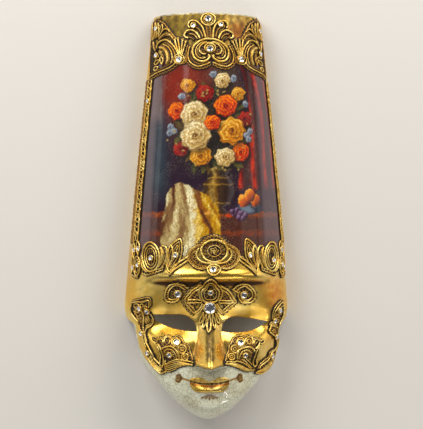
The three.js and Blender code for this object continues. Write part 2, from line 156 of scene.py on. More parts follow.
def surfacePoint(across, row, inside=False):
    reach = reachAt(row)
    angle = across * reach
    x = halfWidthAt(row) * np.sin(angle)
    y = row + (edgeYAt(row) - row) * np.abs(np.sin(angle) / np.sin(reach)) ** form["jawCurve"]
    depth = depthAt(row)
    rim = np.minimum(form["rimDepth"] * notchAt(row), depth)
    dome = rim + (depth - rim) * (np.cos(angle) - np.cos(reach)) / (1 - np.cos(reach))
    fade = 1 - smooth((np.abs(across) - 0.72) / 0.25)
    return np.stack([x, y, dome + faceRelief(x, y, inside) * fade], axis=-1)


def surfaceNormal(across, row, inside=False):
    right, left = np.minimum(1, across + 0.01), np.maximum(-1, across - 0.01)
    up, down = np.minimum(form["hatTop"], row + 0.8), np.maximum(form["chin"], row - 0.8)
    alongRow = surfacePoint(right, row, inside) - surfacePoint(left, row, inside)
    alongColumn = surfacePoint(across, up, inside) - surfacePoint(across, down, inside)
    normal = np.cross(alongRow, alongColumn)
    lying = (np.abs(across) > 0.9999) & (notchAt(row) == 0)
    normal[..., 2] = np.where(lying, 0, normal[..., 2])  # the back edge of the hat stays flat
    normal[..., 1] = np.where(row == form["hatTop"], 0, normal[..., 1])
    return normal / np.linalg.norm(normal, axis=-1, keepdims=True)


def placeOnFace(points):
    # The share across and the row of the surface over each front-view point.
    x, y = points[:, 0], points[:, 1]
    low = np.full(len(x), form["chin"])
    high = np.full(len(x), form["hatTop"])
    for halving in range(26):
        row = (low + high) / 2
        reach = reachAt(row)
        across = np.arcsin(np.clip(x / halfWidthAt(row), -np.sin(reach), np.sin(reach))) / reach
        below = surfacePoint(across, row)[:, 1] < y
        low = np.where(below, row, low)
        high = np.where(below, high, row)
    return across, row


def placeOnHat(points):
    # The same for a point given by its length round the hat from the centre line, and its height.
    row = points[:, 1]
    angle = points[:, 0] / ((halfWidthAt(row) + depthAt(row)) / 2)
    return np.clip(angle / reachAt(row), -1, 1), row


def inFrame(points):
    return (points + np.array([0, yShift, 0])) * mm


# Camera, light and floor.
studio = {
    "target": (3.67, 1.5, 35.0), "lean": 3.0, "distance": 1500.0, "photoHeight": 429, "sensor": 36.0,
    "world": (0.66, 0.65, 0.64), "worldStrength": 0.17,
    "floor": (0.72, 0.7, 0.67), "floorSize": 4.0,
}
softLights = [  # name, place in metres, width, height, watts, colour
    ("leftKey", (-0.84, 1.15, 1.02), 1.1, 1.1, 24.0, (1.0, 0.97, 0.92)),
    ("rightKey", (0.81, 1.27, 0.89), 1.2, 1.0, 20.0, (1.0, 0.96, 0.9)),
    ("leftSide", (-1.62, 0.3, 0.2), 0.9, 0.26, 1.8, (1.0, 0.97, 0.92)),
    ("rightSide", (1.62, 0.25, 0.2), 0.9, 0.26, 1.6, (1.0, 0.88, 0.74)),
    ("leftPanel", (-1.43, -0.25, 0.88), 0.5, 0.9, 1.4, (1.0, 0.97, 0.92)),
    ("rightPanel", (1.5, 0.145, 0.79), 0.5, 0.8, 2.6, (1.0, 0.9, 0.78)),
    ("lowFill", (0.0, -1.4, 0.9), 1.8, 0.9, 7.5, (1.0, 0.96, 0.9)),
    ("chinGlint", (1.0, -1.19, 0.9), 0.06, 0.6, 2.0, (1.0, 0.98, 0.95)),
]


def makeCamera():
    data = bpy.data.cameras.new("camera")
    camera = bpy.data.objects.new("camera", data)
    bpy.context.collection.objects.link(camera)
    target = Vector(inFrame(np.array(studio["target"])))
    lean = math.radians(studio["lean"])
    away = Vector((-math.sin(lean), 0, math.cos(lean)))
    camera.location = target + away * studio["distance"] * mm
    camera.rotation_euler = (0, -lean, 0)
    data.sensor_fit = "VERTICAL"
    data.sensor_height = studio["sensor"]
    data.lens = studio["sensor"] * studio["distance"] / studio["photoHeight"]
    data.clip_end = 20
    bpy.context.scene.camera = camera


def makeLights():
    for name, place, width, height, power, colour in softLights:
        data = bpy.data.lights.new(name, "AREA")
        data.shape = "RECTANGLE"
        data.size, data.size_y = width, height
        data.energy = power
        data.color = colour
        light = bpy.data.objects.new(name, data)
        light.location = place
        light.rotation_euler = (Vector((0, 0, 0.03)) - light.location).to_track_quat("-Z", "Y").to_euler()
        bpy.context.collection.objects.link(light)
    world = bpy.data.worlds.new("studioAir")
    world.use_nodes = True
    air = world.node_tree.nodes["Background"]
    air.inputs["Color"].default_value = (*studio["world"], 1)
    air.inputs["Strength"].default_value = studio["worldStrength"]
    bpy.context.scene.world = world
    bpy.context.scene.view_settings.view_transform = "Standard"


class Wire:
    # A socket's output, so that shader maths is written as plain expressions.
    def __init__(self, look, socket):
        self.look = look
        self.socket = socket

    def maths(self, operation, *values):
        return self.look.node("Math", {"operation": operation}, dict(enumerate(values)))

    def __add__(self, other):
        return self.maths("ADD", self, other)

    def __sub__(self, other):
        return self.maths("SUBTRACT", self, other)

    def __mul__(self, other):
        return self.maths("MULTIPLY", self, other)

    def __rsub__(self, other):
        return self.maths("SUBTRACT", other, self)

    __radd__ = __add__
    __rmul__ = __mul__

    def between(self, low, high):
        # 0 at low, 1 at high, clamped.
        sockets = {"Value": self, "From Min": low, "From Max": high, "To Min": 0.0, "To Max": 1.0}
        return self.look.node("MapRange", {"clamp": True, "interpolation_type": "SMOOTHSTEP"}, sockets)


class Look:
    # One finish: a material, and short ways to the nodes that it is made of.
    def __init__(self, name):
        self.material = bpy.data.materials.new(name)
        self.material.use_nodes = True
        self.tree = self.material.node_tree
        self.shader = self.tree.nodes["Principled BSDF"]
        self.place = self.node("TexCoord", {}, {}, "Object")

    def node(self, kind, settings, sockets, out=0):
        made = self.tree.nodes.new("ShaderNode" + kind)
        for key, value in settings.items():
            setattr(made, key, value)
        for key, value in sockets.items():
            if isinstance(value, Wire):
                self.tree.links.new(value.socket, made.inputs[key])
            else:
                made.inputs[key].default_value = value
        return Wire(self, made.outputs[out])

    def colour(self, factor, first, second):
        first, second = [(*c, 1.0) if isinstance(c, tuple) else c for c in (first, second)]
        return self.node("Mix", {"data_type": "RGBA"}, {0: factor, 6: first, 7: second}, 2)

    def scaled(self, scale):
        return self.node("Mapping", {}, {"Vector": self.place, "Scale": scale})

    def noise(self, size, detail=3.0, roughness=0.55, where=None):
        sockets = {"Vector": where or self.place, "Scale": 1 / (size * mm), "Detail": detail,
                   "Roughness": roughness}
        return self.node("TexNoise", {}, sockets)

    def edges(self, size, reach, where):
        # 0 on the lines between the cells, 1 away from them.
        settings = {"feature": "DISTANCE_TO_EDGE"}
        sockets = {"Vector": where, "Scale": 1 / (size * mm)}
        return self.node("TexVoronoi", settings, sockets, "Distance").between(0.0, reach)

    def warped(self, size, amount):
        bent = self.node("TexNoise", {}, {"Vector": self.place, "Scale": 1 / (size * mm), "Detail": 2.0},
                         "Color")
        centred = self.node("VectorMath", {"operation": "SUBTRACT"}, {0: bent, 1: (0.5, 0.5, 0.5)})
        moved = self.node("VectorMath", {"operation": "SCALE"}, {0: centred, "Scale": amount * mm})
        return self.node("VectorMath", {"operation": "ADD"}, {0: self.place, 1: moved})

    def attribute(self, name, out="Fac"):
        return self.node("Attribute", {"attribute_name": name}, {}, out)

    def bumped(self, height, depth):
        return self.node("Bump", {}, {"Height": height, "Strength": 1.0, "Distance": depth * mm}, "Normal")

    def finish(self, **sockets):
        for key, value in sockets.items():
            socket = self.shader.inputs[key.replace("_", " ")]
            if isinstance(value, Wire):
                self.tree.links.new(value.socket, socket)
            else:
                socket.default_value = (*value, 1.0) if isinstance(value, tuple) else value
        return self.material


# Colours and roughness of the finishes.
gold = {"leaf": (0.84, 0.53, 0.085), "pale": (0.95, 0.72, 0.22), "bole": (0.66, 0.23, 0.035),
        "olive": (0.36, 0.25, 0.03), "wax": (0.06, 0.022, 0.004), "polished": 0.27, "dull": 0.52}
ivory = {"glaze": (0.74, 0.75, 0.57), "warm": (0.64, 0.61, 0.43), "crack": (0.12, 0.115, 0.05),
         "stroke": (0.33, 0.185, 0.03), "strokeDark": (0.09, 0.038, 0.004), "cellSize": 4.4}
paper = {"light": (0.72, 0.64, 0.47), "dark": (0.6, 0.5, 0.34), "fibre": (0.42, 0.34, 0.22),
         "edge": (0.45, 0.36, 0.23)}
# The lace's colours from its gaps to its thread tops: painted shade ('hollow', 'low') up to painted highlight
# ('high', 'pale').
laceGold = {"hollow": (0.02, 0.008, 0.002), "low": (0.36, 0.17, 0.028), "high": (0.82, 0.52, 0.1),
            "pale": (0.97, 0.74, 0.24)}


def maskFinish():
    look = Look("gildedPapierMache")
    gilt = look.attribute("gilt")
    hollow = look.attribute("hollow")
    tint = look.attribute("tint")
    stroke = look.attribute("stroke")
    polish = look.attribute("polish")
    # Gold leaf: laps and rubbed patches over red bole, turned dark brown by the painted shade in 'hollow' and
    # by a little dirt at random.
    patches = look.noise(34, 4.0, 0.6)
    cloudy = look.noise(7, 4.0, 0.6)
    fine = look.noise(1.7, 4.0, 0.65)
    leaf = look.colour(patches.between(0.42, 0.7), gold["leaf"], gold["pale"])
    leaf = look.colour(tint.between(0.5, 1.0), leaf, gold["bole"])
    leaf = look.colour((0.5 - tint).between(0.0, 0.5), leaf, gold["olive"])
    leaf = look.colour(fine.between(0.56, 0.78) * patches.between(0.35, 0.6) * 0.1, leaf, gold["bole"])
    leaf = look.colour(cloudy.between(0.5, 0.8) * (1 - polish) * 0.3, leaf, gold["olive"])
    shadeAndDirt = (hollow + (fine - 0.5) * 0.4 + (cloudy - 0.5) * 0.3).between(0.14, 1.0)
    leaf = look.colour(shadeAndDirt, leaf, gold["wax"])
    # Ivory glaze with a net of fine cracks, coarse ones round finer ones.
    bent = look.warped(6, 1.8)
    coarse = 1 - look.edges(ivory["cellSize"], 0.09, bent)
    small = 1 - look.edges(ivory["cellSize"] * 0.42, 0.1, bent)
    cracks = coarse * look.noise(9).between(0.25, 0.5)
    cracks = cracks.maths("MAXIMUM", cracks, small * look.noise(7).between(0.48, 0.66) * 0.7)
    glaze = look.colour(look.noise(18, 3.0).between(0.4, 0.75), ivory["glaze"], ivory["warm"])
    # Painted shade in 'hollow' warms and darkens the ivory too.
    glaze = look.colour(hollow.between(0.2, 1.0) * 0.75, glaze, ivory["warm"])
    glaze = look.colour(cracks * 0.54, glaze, ivory["crack"])
    # Brown brush strokes round the mouth.
    painted = look.colour(stroke.between(0.0, 0.5), glaze, ivory["stroke"])
    painted = look.colour(stroke.between(0.5, 1.0), painted, ivory["strokeDark"])
    base = look.colour(gilt, painted, leaf)
    brushed = look.noise(0.8, 3.0, 0.6, look.scaled((1.0, 0.2, 1.0)))
    relief = gilt * (fine * 0.22 + brushed * 0.16 + cloudy * 1.3) - (1 - gilt) * cracks * 1.2
    shine = gold["dull"] - polish * (gold["dull"] - gold["polished"]) + shadeAndDirt * 0.2 + (fine - 0.5) * 0.08
    return look.finish(Base_Color=base, Metallic=gilt * (1 - shadeAndDirt * 0.6) * 0.96,
                       Roughness=gilt * shine + (1 - gilt) * 0.32,
                       Coat_Weight=(1 - gilt) * 0.8 + gilt * polish * (1 - shadeAndDirt) * 0.3, Coat_Roughness=0.08,
                       Normal=look.bumped(relief, 0.1))


def paperFinish():
    look = Look("barePapierMache")
    fibre = look.noise(0.9, 4.0, 0.7)
    tone = look.colour(look.noise(30).between(0.35, 0.7), paper["light"], paper["dark"])
    tone = look.colour(fibre.between(0.55, 0.8) * 0.3, tone, paper["fibre"])
    edges = look.edges(24, 0.03, look.warped(12, 9))  # the torn edges of the paper's strips
    tone = look.colour((1 - edges) * 0.25, tone, paper["edge"])
    return look.finish(Base_Color=tone, Roughness=0.88,
                       Normal=look.bumped(fibre * 0.4 + edges * 0.6 + look.noise(6) * 0.8, 0.35))


def laceFinish():
    look = Look("gildedLace")
    rise = look.attribute("rise")
    fine = look.noise(0.7, 3.0, 0.6)
    patches = look.noise(9, 3.0)
    up = look.node("SeparateXYZ", {}, {0: look.place}, 1)
    # Painted highlight on the tops of the threads, painted shade going brown and then near black lower down
    # and between them; less bright on the hat and least at its top.
    top = rise + (fine - 0.5) * 0.5 + (patches - 0.5) * 0.3
    top = top - up.between(-0.07, -0.03) * 0.06 - up.between(0.08, 0.17) * 0.15
    tone = look.colour(top.between(0.26, 0.52), laceGold["hollow"], laceGold["low"])
    bright = look.colour(patches.between(0.4, 0.65), laceGold["high"], laceGold["pale"])
    tone = look.colour(top.between(0.46, 0.84), tone, bright)
    return look.finish(Base_Color=tone, Metallic=top.between(0.3, 0.6) * 0.95,
                       Roughness=0.56 - top.between(0.4, 1.0) * 0.26,
                       Normal=look.bumped(look.noise(0.4, 2.0), 0.14))


def pictureFinish():
    look = Look("varnishedPrint")
    paint = look.attribute("paint", "Color")
    lightness = look.node("VectorMath", {"operation": "DOT_PRODUCT"}, {0: paint, 1: (0.3, 0.6, 0.1)}, 1)
    bent = look.warped(5, 1.4)
    cracks = 1 - look.edges(2.9, 0.07, bent)
    worn = cracks * look.noise(13).between(0.4, 0.6)
    # Cracks are dark over light paint, and dusty over dark paint; the varnish has pale specks.
    light = lightness.between(0.06, 0.25)
    tone = look.colour(cracks * light * 0.62, paint, (0.12, 0.065, 0.02))
    tone = look.colour(worn * (1 - light) * 0.13, tone, (0.5, 0.4, 0.3))
    speck = look.noise(0.9, 2.0, 0.6).between(0.7, 0.78) * look.noise(16).between(0.45, 0.65)
    tone = look.colour(speck * 0.4, tone, (0.6, 0.52, 0.4))
    grain = look.noise(0.7, 3.0)
    return look.finish(Base_Color=tone, Roughness=0.55, Specular_IOR_Level=0.14, Coat_Weight=0.26,
                       Coat_Roughness=0.07,
                       Normal=look.bumped(grain * 0.35 - cracks * 0.4, 0.08))


def crystalFinish():
    look = Look("cutCrystal")
    return look.finish(Base_Color=(0.97, 0.975, 1.0), Roughness=0.0, IOR=1.56, Transmission_Weight=1.0)


def foilFinish():
    look = Look("crystalFoil")
    return look.finish(Base_Color=(0.78, 0.79, 0.82), Metallic=1.0, Roughness=0.08)


def floorFinish():
    look = Look("paleFloor")
    return look.finish(Base_Color=studio["floor"], Roughness=0.75)


def addObject(name, mesh, *materials):
    piece = bpy.data.objects.new(name, mesh)
    bpy.context.collection.objects.link(piece)
    for material in materials:
        mesh.materials.append(material)
    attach(piece, "root")
    return piece


def numbered(bm):
    # Each vertex keeps its number through later cuts and extrusions.
    spot = bm.verts.layers.int.new("spot")
    for i, v in enumerate(bm.verts):
        v[spot] = i
    return spot


def meshFrom(bm, name):
    mesh = bpy.data.meshes.new(name)
    bm.to_mesh(mesh)
    bm.free()
    return mesh


def setAttribute(mesh, name, values, kind="FLOAT"):
    layer = mesh.attributes.new(name, kind, "POINT")
    key = "value" if kind == "FLOAT" else "color"
    layer.data.foreach_set(key, np.ascontiguousarray(values, dtype=np.float32).ravel())


def makeFloor():
    bm = bmesh.new()
    bmesh.ops.create_grid(bm, x_segments=1, y_segments=1, size=studio["floorSize"] / 2)
    floor = bpy.data.objects.new("floor", meshFrom(bm, "floor"))
    bpy.context.collection.objects.link(floor)
    floor.data.materials.append(floorFinish())


def drift(x, y, size, seed):
    # Smooth noise from a few fixed waves, about -1 to 1.
    random = np.random.default_rng(seed)
    total = np.zeros_like(x)
    for octave in range(3):
        for wave in range(3):
            angle, phase = random.uniform(0, 2 * math.pi, 2)
            pace = 2 * math.pi / size * 1.9 ** octave
            bend = 1.3 * np.sin((x * math.sin(angle) - y * math.cos(angle)) * pace * 0.7 + phase)
            along = (x * math.cos(angle) + y * math.sin(angle)) * pace
            total += np.sin(along + phase + bend) / 1.7 ** octave
    return total / 4


def evenSteps(stops):
    # Values from (value, step) pairs: each stretch is cut into steps of its own size.
    values = [stops[0][0]]
    for (start, step), (end, nextStep) in zip(stops, stops[1:]):
        count = max(1, round(abs(end - start) / step))
        values += [start + (end - start) * i / count for i in range(1, count + 1)]
    return np.array(values)


def smoothPath(points, step, closed=False):
    # A Catmull-Rom curve through the points, cut into equal steps.
    p = np.array(points, float)
    if closed:
        p = np.concatenate([p[-1:], p, p[:2]])
    else:
        p = np.concatenate([[2 * p[0] - p[1]], p, [2 * p[-1] - p[-2]]])
    t = np.linspace(0, 1, 9)[:-1, None]
    parts = []
    for a, b, c, d in zip(p, p[1:], p[2:], p[3:]):
        parts.append(0.5 * (2 * b + (c - a) * t + (2 * a - 5 * b + 4 * c - d) * t ** 2
                            + (3 * b - a - 3 * c + d) * t ** 3))
    dense = np.concatenate(parts + [p[-2:-1]])
    lengths = np.r_[0, np.cumsum(np.linalg.norm(np.diff(dense, axis=0), axis=1))]
    count = max(2, round(lengths[-1] / step))
    even = np.linspace(0, lengths[-1], count + 1)
    path = np.stack([np.interp(even, lengths, dense[:, k]) for k in (0, 1)], axis=-1)
    return path[:-1] if closed else path


# The shell: one grid over the whole outer surface, cut through at the eyes, then given its wall.
shellGrid = {
    "columnStops": [(0, 0.62), (30, 1.0), (52, 2.0), (83, 2.0)],  # way out from the centre line, step
    "rowStops": [(201.5, 0.8), (198.3, 3.2), (-40, 1.0), (-154, 0.62), (-203.5, 0.62)],  # height, step
    "rimRounding": 0.4,
}
eyeCut = {"innerX": 12, "outerX": 60, "topY": -98.5, "innerBottomY": -113.5, "outerY": -101,
          "handCutTilt": 3.6}


def quadratic(a, b, c, steps):
    t = np.linspace(0, 1, steps + 1)[:-1, None]
    a, b, c = np.array(a), np.array(b), np.array(c)
    return (1 - t) ** 2 * a + 2 * t * (1 - t) * b + t ** 2 * c


def eyeOutline(side):
    inner, outer, top = eyeCut["innerX"], eyeCut["outerX"], eyeCut["topY"]
    bottom, corner = eyeCut["innerBottomY"], eyeCut["outerY"]
    line = np.concatenate([
        quadratic((outer, corner), (44, top - 1.4), (30, top + 0.4), 40),
        quadratic((30, top + 0.4), (18, top + 1.2), (inner + 1, -107), 30),
        quadratic((inner + 1, -107), (inner + 0.5, -110), (inner, bottom), 10),
        quadratic((inner, bottom), (44, bottom - 2.5), (outer, corner), 60),
    ])
    line[:, 1] -= side * eyeCut["handCutTilt"] / (outer - inner) * (line[:, 0] - inner)
    return line * np.array([side, 1])


def insideOutline(points, outline):
    x, y = points[:, 0], points[:, 1]
    inside = np.zeros(len(points), bool)
    for (ax, ay), (bx, by) in zip(outline, np.roll(outline, -1, axis=0)):
        crossing = (ay > y) != (by > y)
        slope = (bx - ax) / (by - ay if by != ay else 1e-9)
        inside ^= crossing & (x < ax + slope * (y - ay))
    return inside


def nearestOnOutline(points, outline):
    starts, ends = outline, np.roll(outline, -1, axis=0)
    best = np.full(len(points), np.inf)
    nearest = points.copy()
    for a, b in zip(starts, ends):
        along = np.clip(((points - a) @ (b - a)) / max((b - a) @ (b - a), 1e-9), 0, 1)
        spot = a + along[:, None] * (b - a)
        distance = np.linalg.norm(points - spot, axis=1)
        nearer = distance < best
        nearest[nearer], best[nearer] = spot[nearer], distance[nearer]
    return nearest


def goldEdge(x):
    # Height of the gilding's lower edge on the face: under the nose, then over each cheek lace's leaf.
    knots = [0, 5.3, 11.5, 16, 20, 27.7, 33, 38.8, 48, 52, 62, 70, 90]
    heights = [-149.4, -148.8, -147.2, -146.4, -144.6, -146.8, -149.6, -153, -154, -153, -143, -128, -100]
    return np.interp(np.abs(x), knots, heights)


def paintStrokes(x, y):
    # Brown brush strokes: a curl and a small ornament by each corner of the mouth, a fan under the lip.
    strokes = []
    for side in (-1, 1):
        strokes += [([(side * 17.6, -161.6), (side * 23, -159.8), (side * 28, -158.8)], 1.1, 0.5),
                    ([(side * 27.4, -158.8), (side * 29.4, -155.6), (side * 31.6, -156.8)], 1.25, 1.0),
                    ([(side * 27.8, -159.4), (side * 30.0, -162.4), (side * 32.4, -161.4)], 1.2, 0.9),
                    ([(side * 27.4, -158.8), (side * 31.4, -159.0)], 1.7, 0.8)]
    for lean in (-2, -1, 0, 1, 2):
        strokes.append(([(lean, -174.8), (lean * 2.3, -177.2 + abs(lean) * 0.3),
                         (lean * 3.9, -179.4 + abs(lean) * 0.8)], 0.75, 0.85))
    dark = np.zeros(len(x))
    points = np.stack([x, y], axis=-1)
    for line, width, strength in strokes:
        path = smoothPath(line, 0.4)
        near = (np.abs(x - path[:, 0].mean()) < 14) & (np.abs(y - path[:, 1].mean()) < 14)
        gap = np.linalg.norm(points[near][:, None] - path[None], axis=2).min(axis=1)
        dark[near] = np.maximum(dark[near], strength * (1 - smooth((gap - width * 0.4) / width)))
    return dark


def paintShell(mesh, x, y, across, row, laceTree):
    # Where the gilding ends, with the bare strip that shows along the face's side edges.
    lowerFace = y < np.where(row < -96, goldEdge(x), -1e3)
    strip = (np.abs(across) > 0.965) & (row < -96)
    upper, parting, lower = mouthLines(np.abs(x))[1:]
    lips = (y < upper + 0.4) & (y > lower - 0.5) & (np.abs(x) < 19.5)
    gilt = np.where((lowerFace | strip) & ~lips, 0.0, 1.0)
    rubbed = np.clip(0.62 + 0.5 * drift(x, y, 13, 57) + x / 160, 0, 1)
    gilt *= 1 - smooth((row - 199.9) / 0.8) * rubbed  # bare along the top rim
    # Painted shade, kept in the 'hollow' attribute: creases of the relief, the line under the brim and a halo
    # round the laces.
    relief = faceRelief(x, y)
    nearby = ((3, 0), (-3, 0), (0, 3), (0, -3), (2, 2), (-2, 2), (2, -2), (-2, -2))
    around = [faceRelief(x + dx, y + dy) for dx, dy in nearby]
    creaseShade = np.clip((np.mean(around, axis=0) - relief) / 0.9, 0, 1) * (np.abs(across) < 0.8)
    # Painted shade round the laces, fading out from their threads.
    gap = np.array([laceTree.find(v.co)[2] for v in mesh.vertices]) / mm
    laceShade = np.exp(-np.maximum(gap - 1.0, 0) / 1.6)
    # Painted shadow under the brim.
    brimShadow = np.exp(-((y + 66.5) / 3.2) ** 2) * (1 - smooth((np.abs(x) - 44) / 20))
    # Painted shadow along the gold's edge under the nose and nostrils.
    noseFootShadow = np.exp(-((y - goldEdge(x) - 0.5) / 1.3) ** 2) * (np.abs(x) < 18) * (row < -96)
    # Painted shade in the mouth's parting, deepest at its middle.
    fromParting = y - parting + 0.5 * drift(x, y, 4, 40)
    partingShade = lips * np.exp(-(fromParting / 1.7) ** 2) * (0.95 + 0.3 * drift(x, y, 5, 41))
    partingShade = np.maximum(partingShade, 0.8 * lips * bump(x, y, 1.5, -167, 3.4, 3))
    # Brown stain on the lips, with painted shade over the upper lip, which faces down, and where the lower
    # lip turns under.
    lipTurns = np.maximum(smooth((y - parting) / 2), smooth((lower + 2.2 - y) / 1.4) * 0.7)
    lipStainAndShade = lips * (0.5 + 0.25 * drift(x, y, 6, 43)) * lipTurns
    # Darker towards the top of the hat, less so at its sides.
    topDarkening = (0.6 + 0.22 * drift(x, y, 8, 45)) * smooth((y - 150) / 20)
    topDarkening *= 1 - smooth((np.abs(x) - 44) / 6) * 0.6
    # Painted dark reflection down the ridge of the nose, darkened here and tinted olive in the tint below.
    ridge = (1 - smooth((np.abs(x) - 2.2) / 5.0)) * smooth((-104 - y) / 9) * smooth((y + 146) / 8)
    ridge *= 0.95 + 0.3 * drift(x, y, 7, 55)
    angle = across * reachAt(row)
    # Painted shadow along the picture's left and right edges, beside the braids.
    seamShadow = 0
    for edge, reach in ((picture["leftAngle"], 2.6), (picture["rightAngle"], 2.0)):
        away = np.abs(angle - math.radians(edge)) * picture["meanRadius"]
        seamShadow = np.maximum(seamShadow, 1 - smooth((away - reach) / 0.8))
    seamShadow *= smooth((y + 45) / 8)
    # Everything darkened in 'hollow': the painted shade and shadows above, the brown stain on the lips and
    # the darker hat top.
    paintedShadeAndStain = np.maximum.reduce([creaseShade * 0.8 * (1 - lips), laceShade * 0.9, noseFootShadow * 0.8, partingShade, lipStainAndShade,
                               topDarkening, ridge * 0.7, seamShadow])
    setAttribute(mesh, "gilt", gilt)
    setAttribute(mesh, "hollow", np.clip(paintedShadeAndStain + brimShadow * 0.55, 0, 1))
    mottled = 1 + 0.5 * drift(x, y, 9, 51)
    # Red bole through thin leaf at the hat top and right side, and painted warm reflection of the gold under
    # the brim and on the nose's flanks; green gives olive patches.
    red = (0.6 * bump(x, y, 27, 185, 14, 12) + 0.36 * bump(x, y, 66, -78, 14, 20)
           + 0.14 * bump(x, y, 64, -125, 14, 18)
           + 0.4 * brimShadow + 0.26 * bump(np.abs(x), y, 12, -130, 5, 14)
           + 0.7 * lips * np.exp(-((y - parting + 2.2) / 0.9) ** 2)) * mottled
    green = (0.62 * bump(x, y, -26, 186, 30, 18) + 0.4 * bump(x, y, 6, 192, 22, 9)
             + 0.2 * bump(x, y, -60, -70, 16, 26)) * mottled
    setAttribute(mesh, "tint", 0.5 + red - green - 0.5 * ridge)
    forehead = smooth((-62 - y) / 5) * smooth((y + 101) / 6) * smooth((np.abs(x) - 8) / 8)
    dull = 0.55 * forehead + 0.8 * smooth((y - 120) / 10) + 0.4 * smooth((np.abs(x) - 64) / 10)
    dull += 0.55 * lips * smooth((y - parting) / 1.5)
    setAttribute(mesh, "polish", 1 - np.clip(dull, 0, 1))
    setAttribute(mesh, "stroke", paintStrokes(x, y) * (gilt < 0.5))


def makeShell(laceTree):
    steps = evenSteps(shellGrid["columnStops"])
    halfColumns = steps / steps[-1]
    columns = np.concatenate([-halfColumns[:0:-1], halfColumns])
    rows = evenSteps(shellGrid["rowStops"])[::-1]
    bm = bmesh.new()
    bmesh.ops.create_grid(bm, x_segments=len(columns) - 1, y_segments=len(rows) - 1, size=0.5)
    flat = np.array([v.co[:2] for v in bm.verts]) + 0.5
    across = np.interp(flat[:, 0] * (len(columns) - 1), np.arange(len(columns)), columns)
    row = np.interp(flat[:, 1] * (len(rows) - 1), np.arange(len(rows)), rows)
    spot = numbered(bm)
    outer = surfacePoint(across, row)
    eyes = [eyeOutline(side) for side in (-1, 1)]
    faces = bm.faces[:]
    centres = np.array([np.mean([outer[v[spot]][:2] for v in f.verts], axis=0) for f in faces])
    cut = np.zeros(len(faces), bool)
    near = (centres[:, 1] < -90) & (centres[:, 1] > -122)
    for outline in eyes:
        cut[near] |= insideOutline(centres[near], outline)
    bmesh.ops.delete(bm, geom=[f for f, gone in zip(faces, cut) if gone], context="FACES")
    # The edge of each opening is drawn onto its outline.
    hole = [v for v in bm.verts if v.is_boundary and abs(across[v[spot]]) < 0.999
            and 0.0001 < flat[v[spot], 1] < 0.9999]
    which = np.array([v[spot] for v in hole])
    onEdge = outer[which][:, :2]
    for side, outline in zip((-1, 1), eyes):
        mine = which[onEdge[:, 0] * side > 0]
        target = nearestOnOutline(outer[mine][:, :2], outline)
        across[mine], row[mine] = placeOnFace(target)
    outer = surfacePoint(across, row)
    inner = surfacePoint(across, row, True) - surfaceNormal(across, row, True) * form["wall"]
    inner[which, :2] = outer[which, :2]
    inner[:, 2] = np.maximum(inner[:, 2], 0)
    # The wall: the sheet is extruded, its old faces become the inside.
    inside = bm.faces[:]
    made = bmesh.ops.extrude_face_region(bm, geom=inside, use_keep_orig=True)
    front = {g for g in made["geom"] if isinstance(g, bmesh.types.BMVert)}
    frontFaces = {g for g in made["geom"] if isinstance(g, bmesh.types.BMFace)}
    for v in bm.verts:
        v.co = Vector(inFrame((outer if v in front else inner)[v[spot]]))
    insideFaces = set(inside)
    edgeSpots = set(which.tolist())
    for f in bm.faces:
        f.smooth = True
        if f in insideFaces:
            f.material_index = 1
        elif f not in frontFaces:
            f.material_index = 0 if all(v[spot] in edgeSpots for v in f.verts) else 1
    bmesh.ops.recalc_face_normals(bm, faces=bm.faces[:])
    rims = [e for e in bm.edges if len({f in frontFaces or -1 for f in e.link_faces}) == 2]
    bmesh.ops.bevel(bm, geom=rims, offset=shellGrid["rimRounding"] * mm, segments=2, profile=0.5,
                    affect="EDGES", material=-1, clamp_overlap=True)
    spots = np.array([v[spot] for v in bm.verts])
    mesh = meshFrom(bm, "papierMacheShell")
    paintShell(mesh, outer[spots, 0], outer[spots, 1], across[spots], row[spots], laceTree)
    piece = addObject("papierMacheShell", mesh, maskFinish(), paperFinish())
    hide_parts("mask_shell")
    print("shell", len(mesh.polygons), "faces")


# Lace: cords drawn on a chart of the surface, then laid over it on a thin sheet that takes the near-black
# painted shade between the threads.
thread = {"step": 0.85, "outline": 0.84, "cord": 0.7, "satin": 0.55, "fine": 0.45, "pitch": 2.9,
          "lift": 1.25, "waver": 0.16, "groundPitch": 0.9, "groundReach": 1.3, "groundTop": 0.85,
          "groundBottom": 0.4}
# Each crystal sits in a ring of cord, on a post.
seat = {"steps": 14, "clearance": 0.2, "ring": 0.72, "ringDrop": 0.35, "ringLift": 2.1,
        "post": 0.92, "postTop": 0.05, "postFoot": 2.2, "postLift": 1.2}


def acrossLine(path):
    # Unit vectors across a line, to the right of its heading.
    heading = np.gradient(path, axis=0)
    return np.stack([heading[:, 1], -heading[:, 0]], axis=-1) / np.linalg.norm(heading, axis=1)[:, None]


def onCircle(centre, radius, degrees, squash=1.0):
    a = math.radians(degrees)
    return (centre[0] + radius * math.cos(a), centre[1] + radius * squash * math.sin(a))


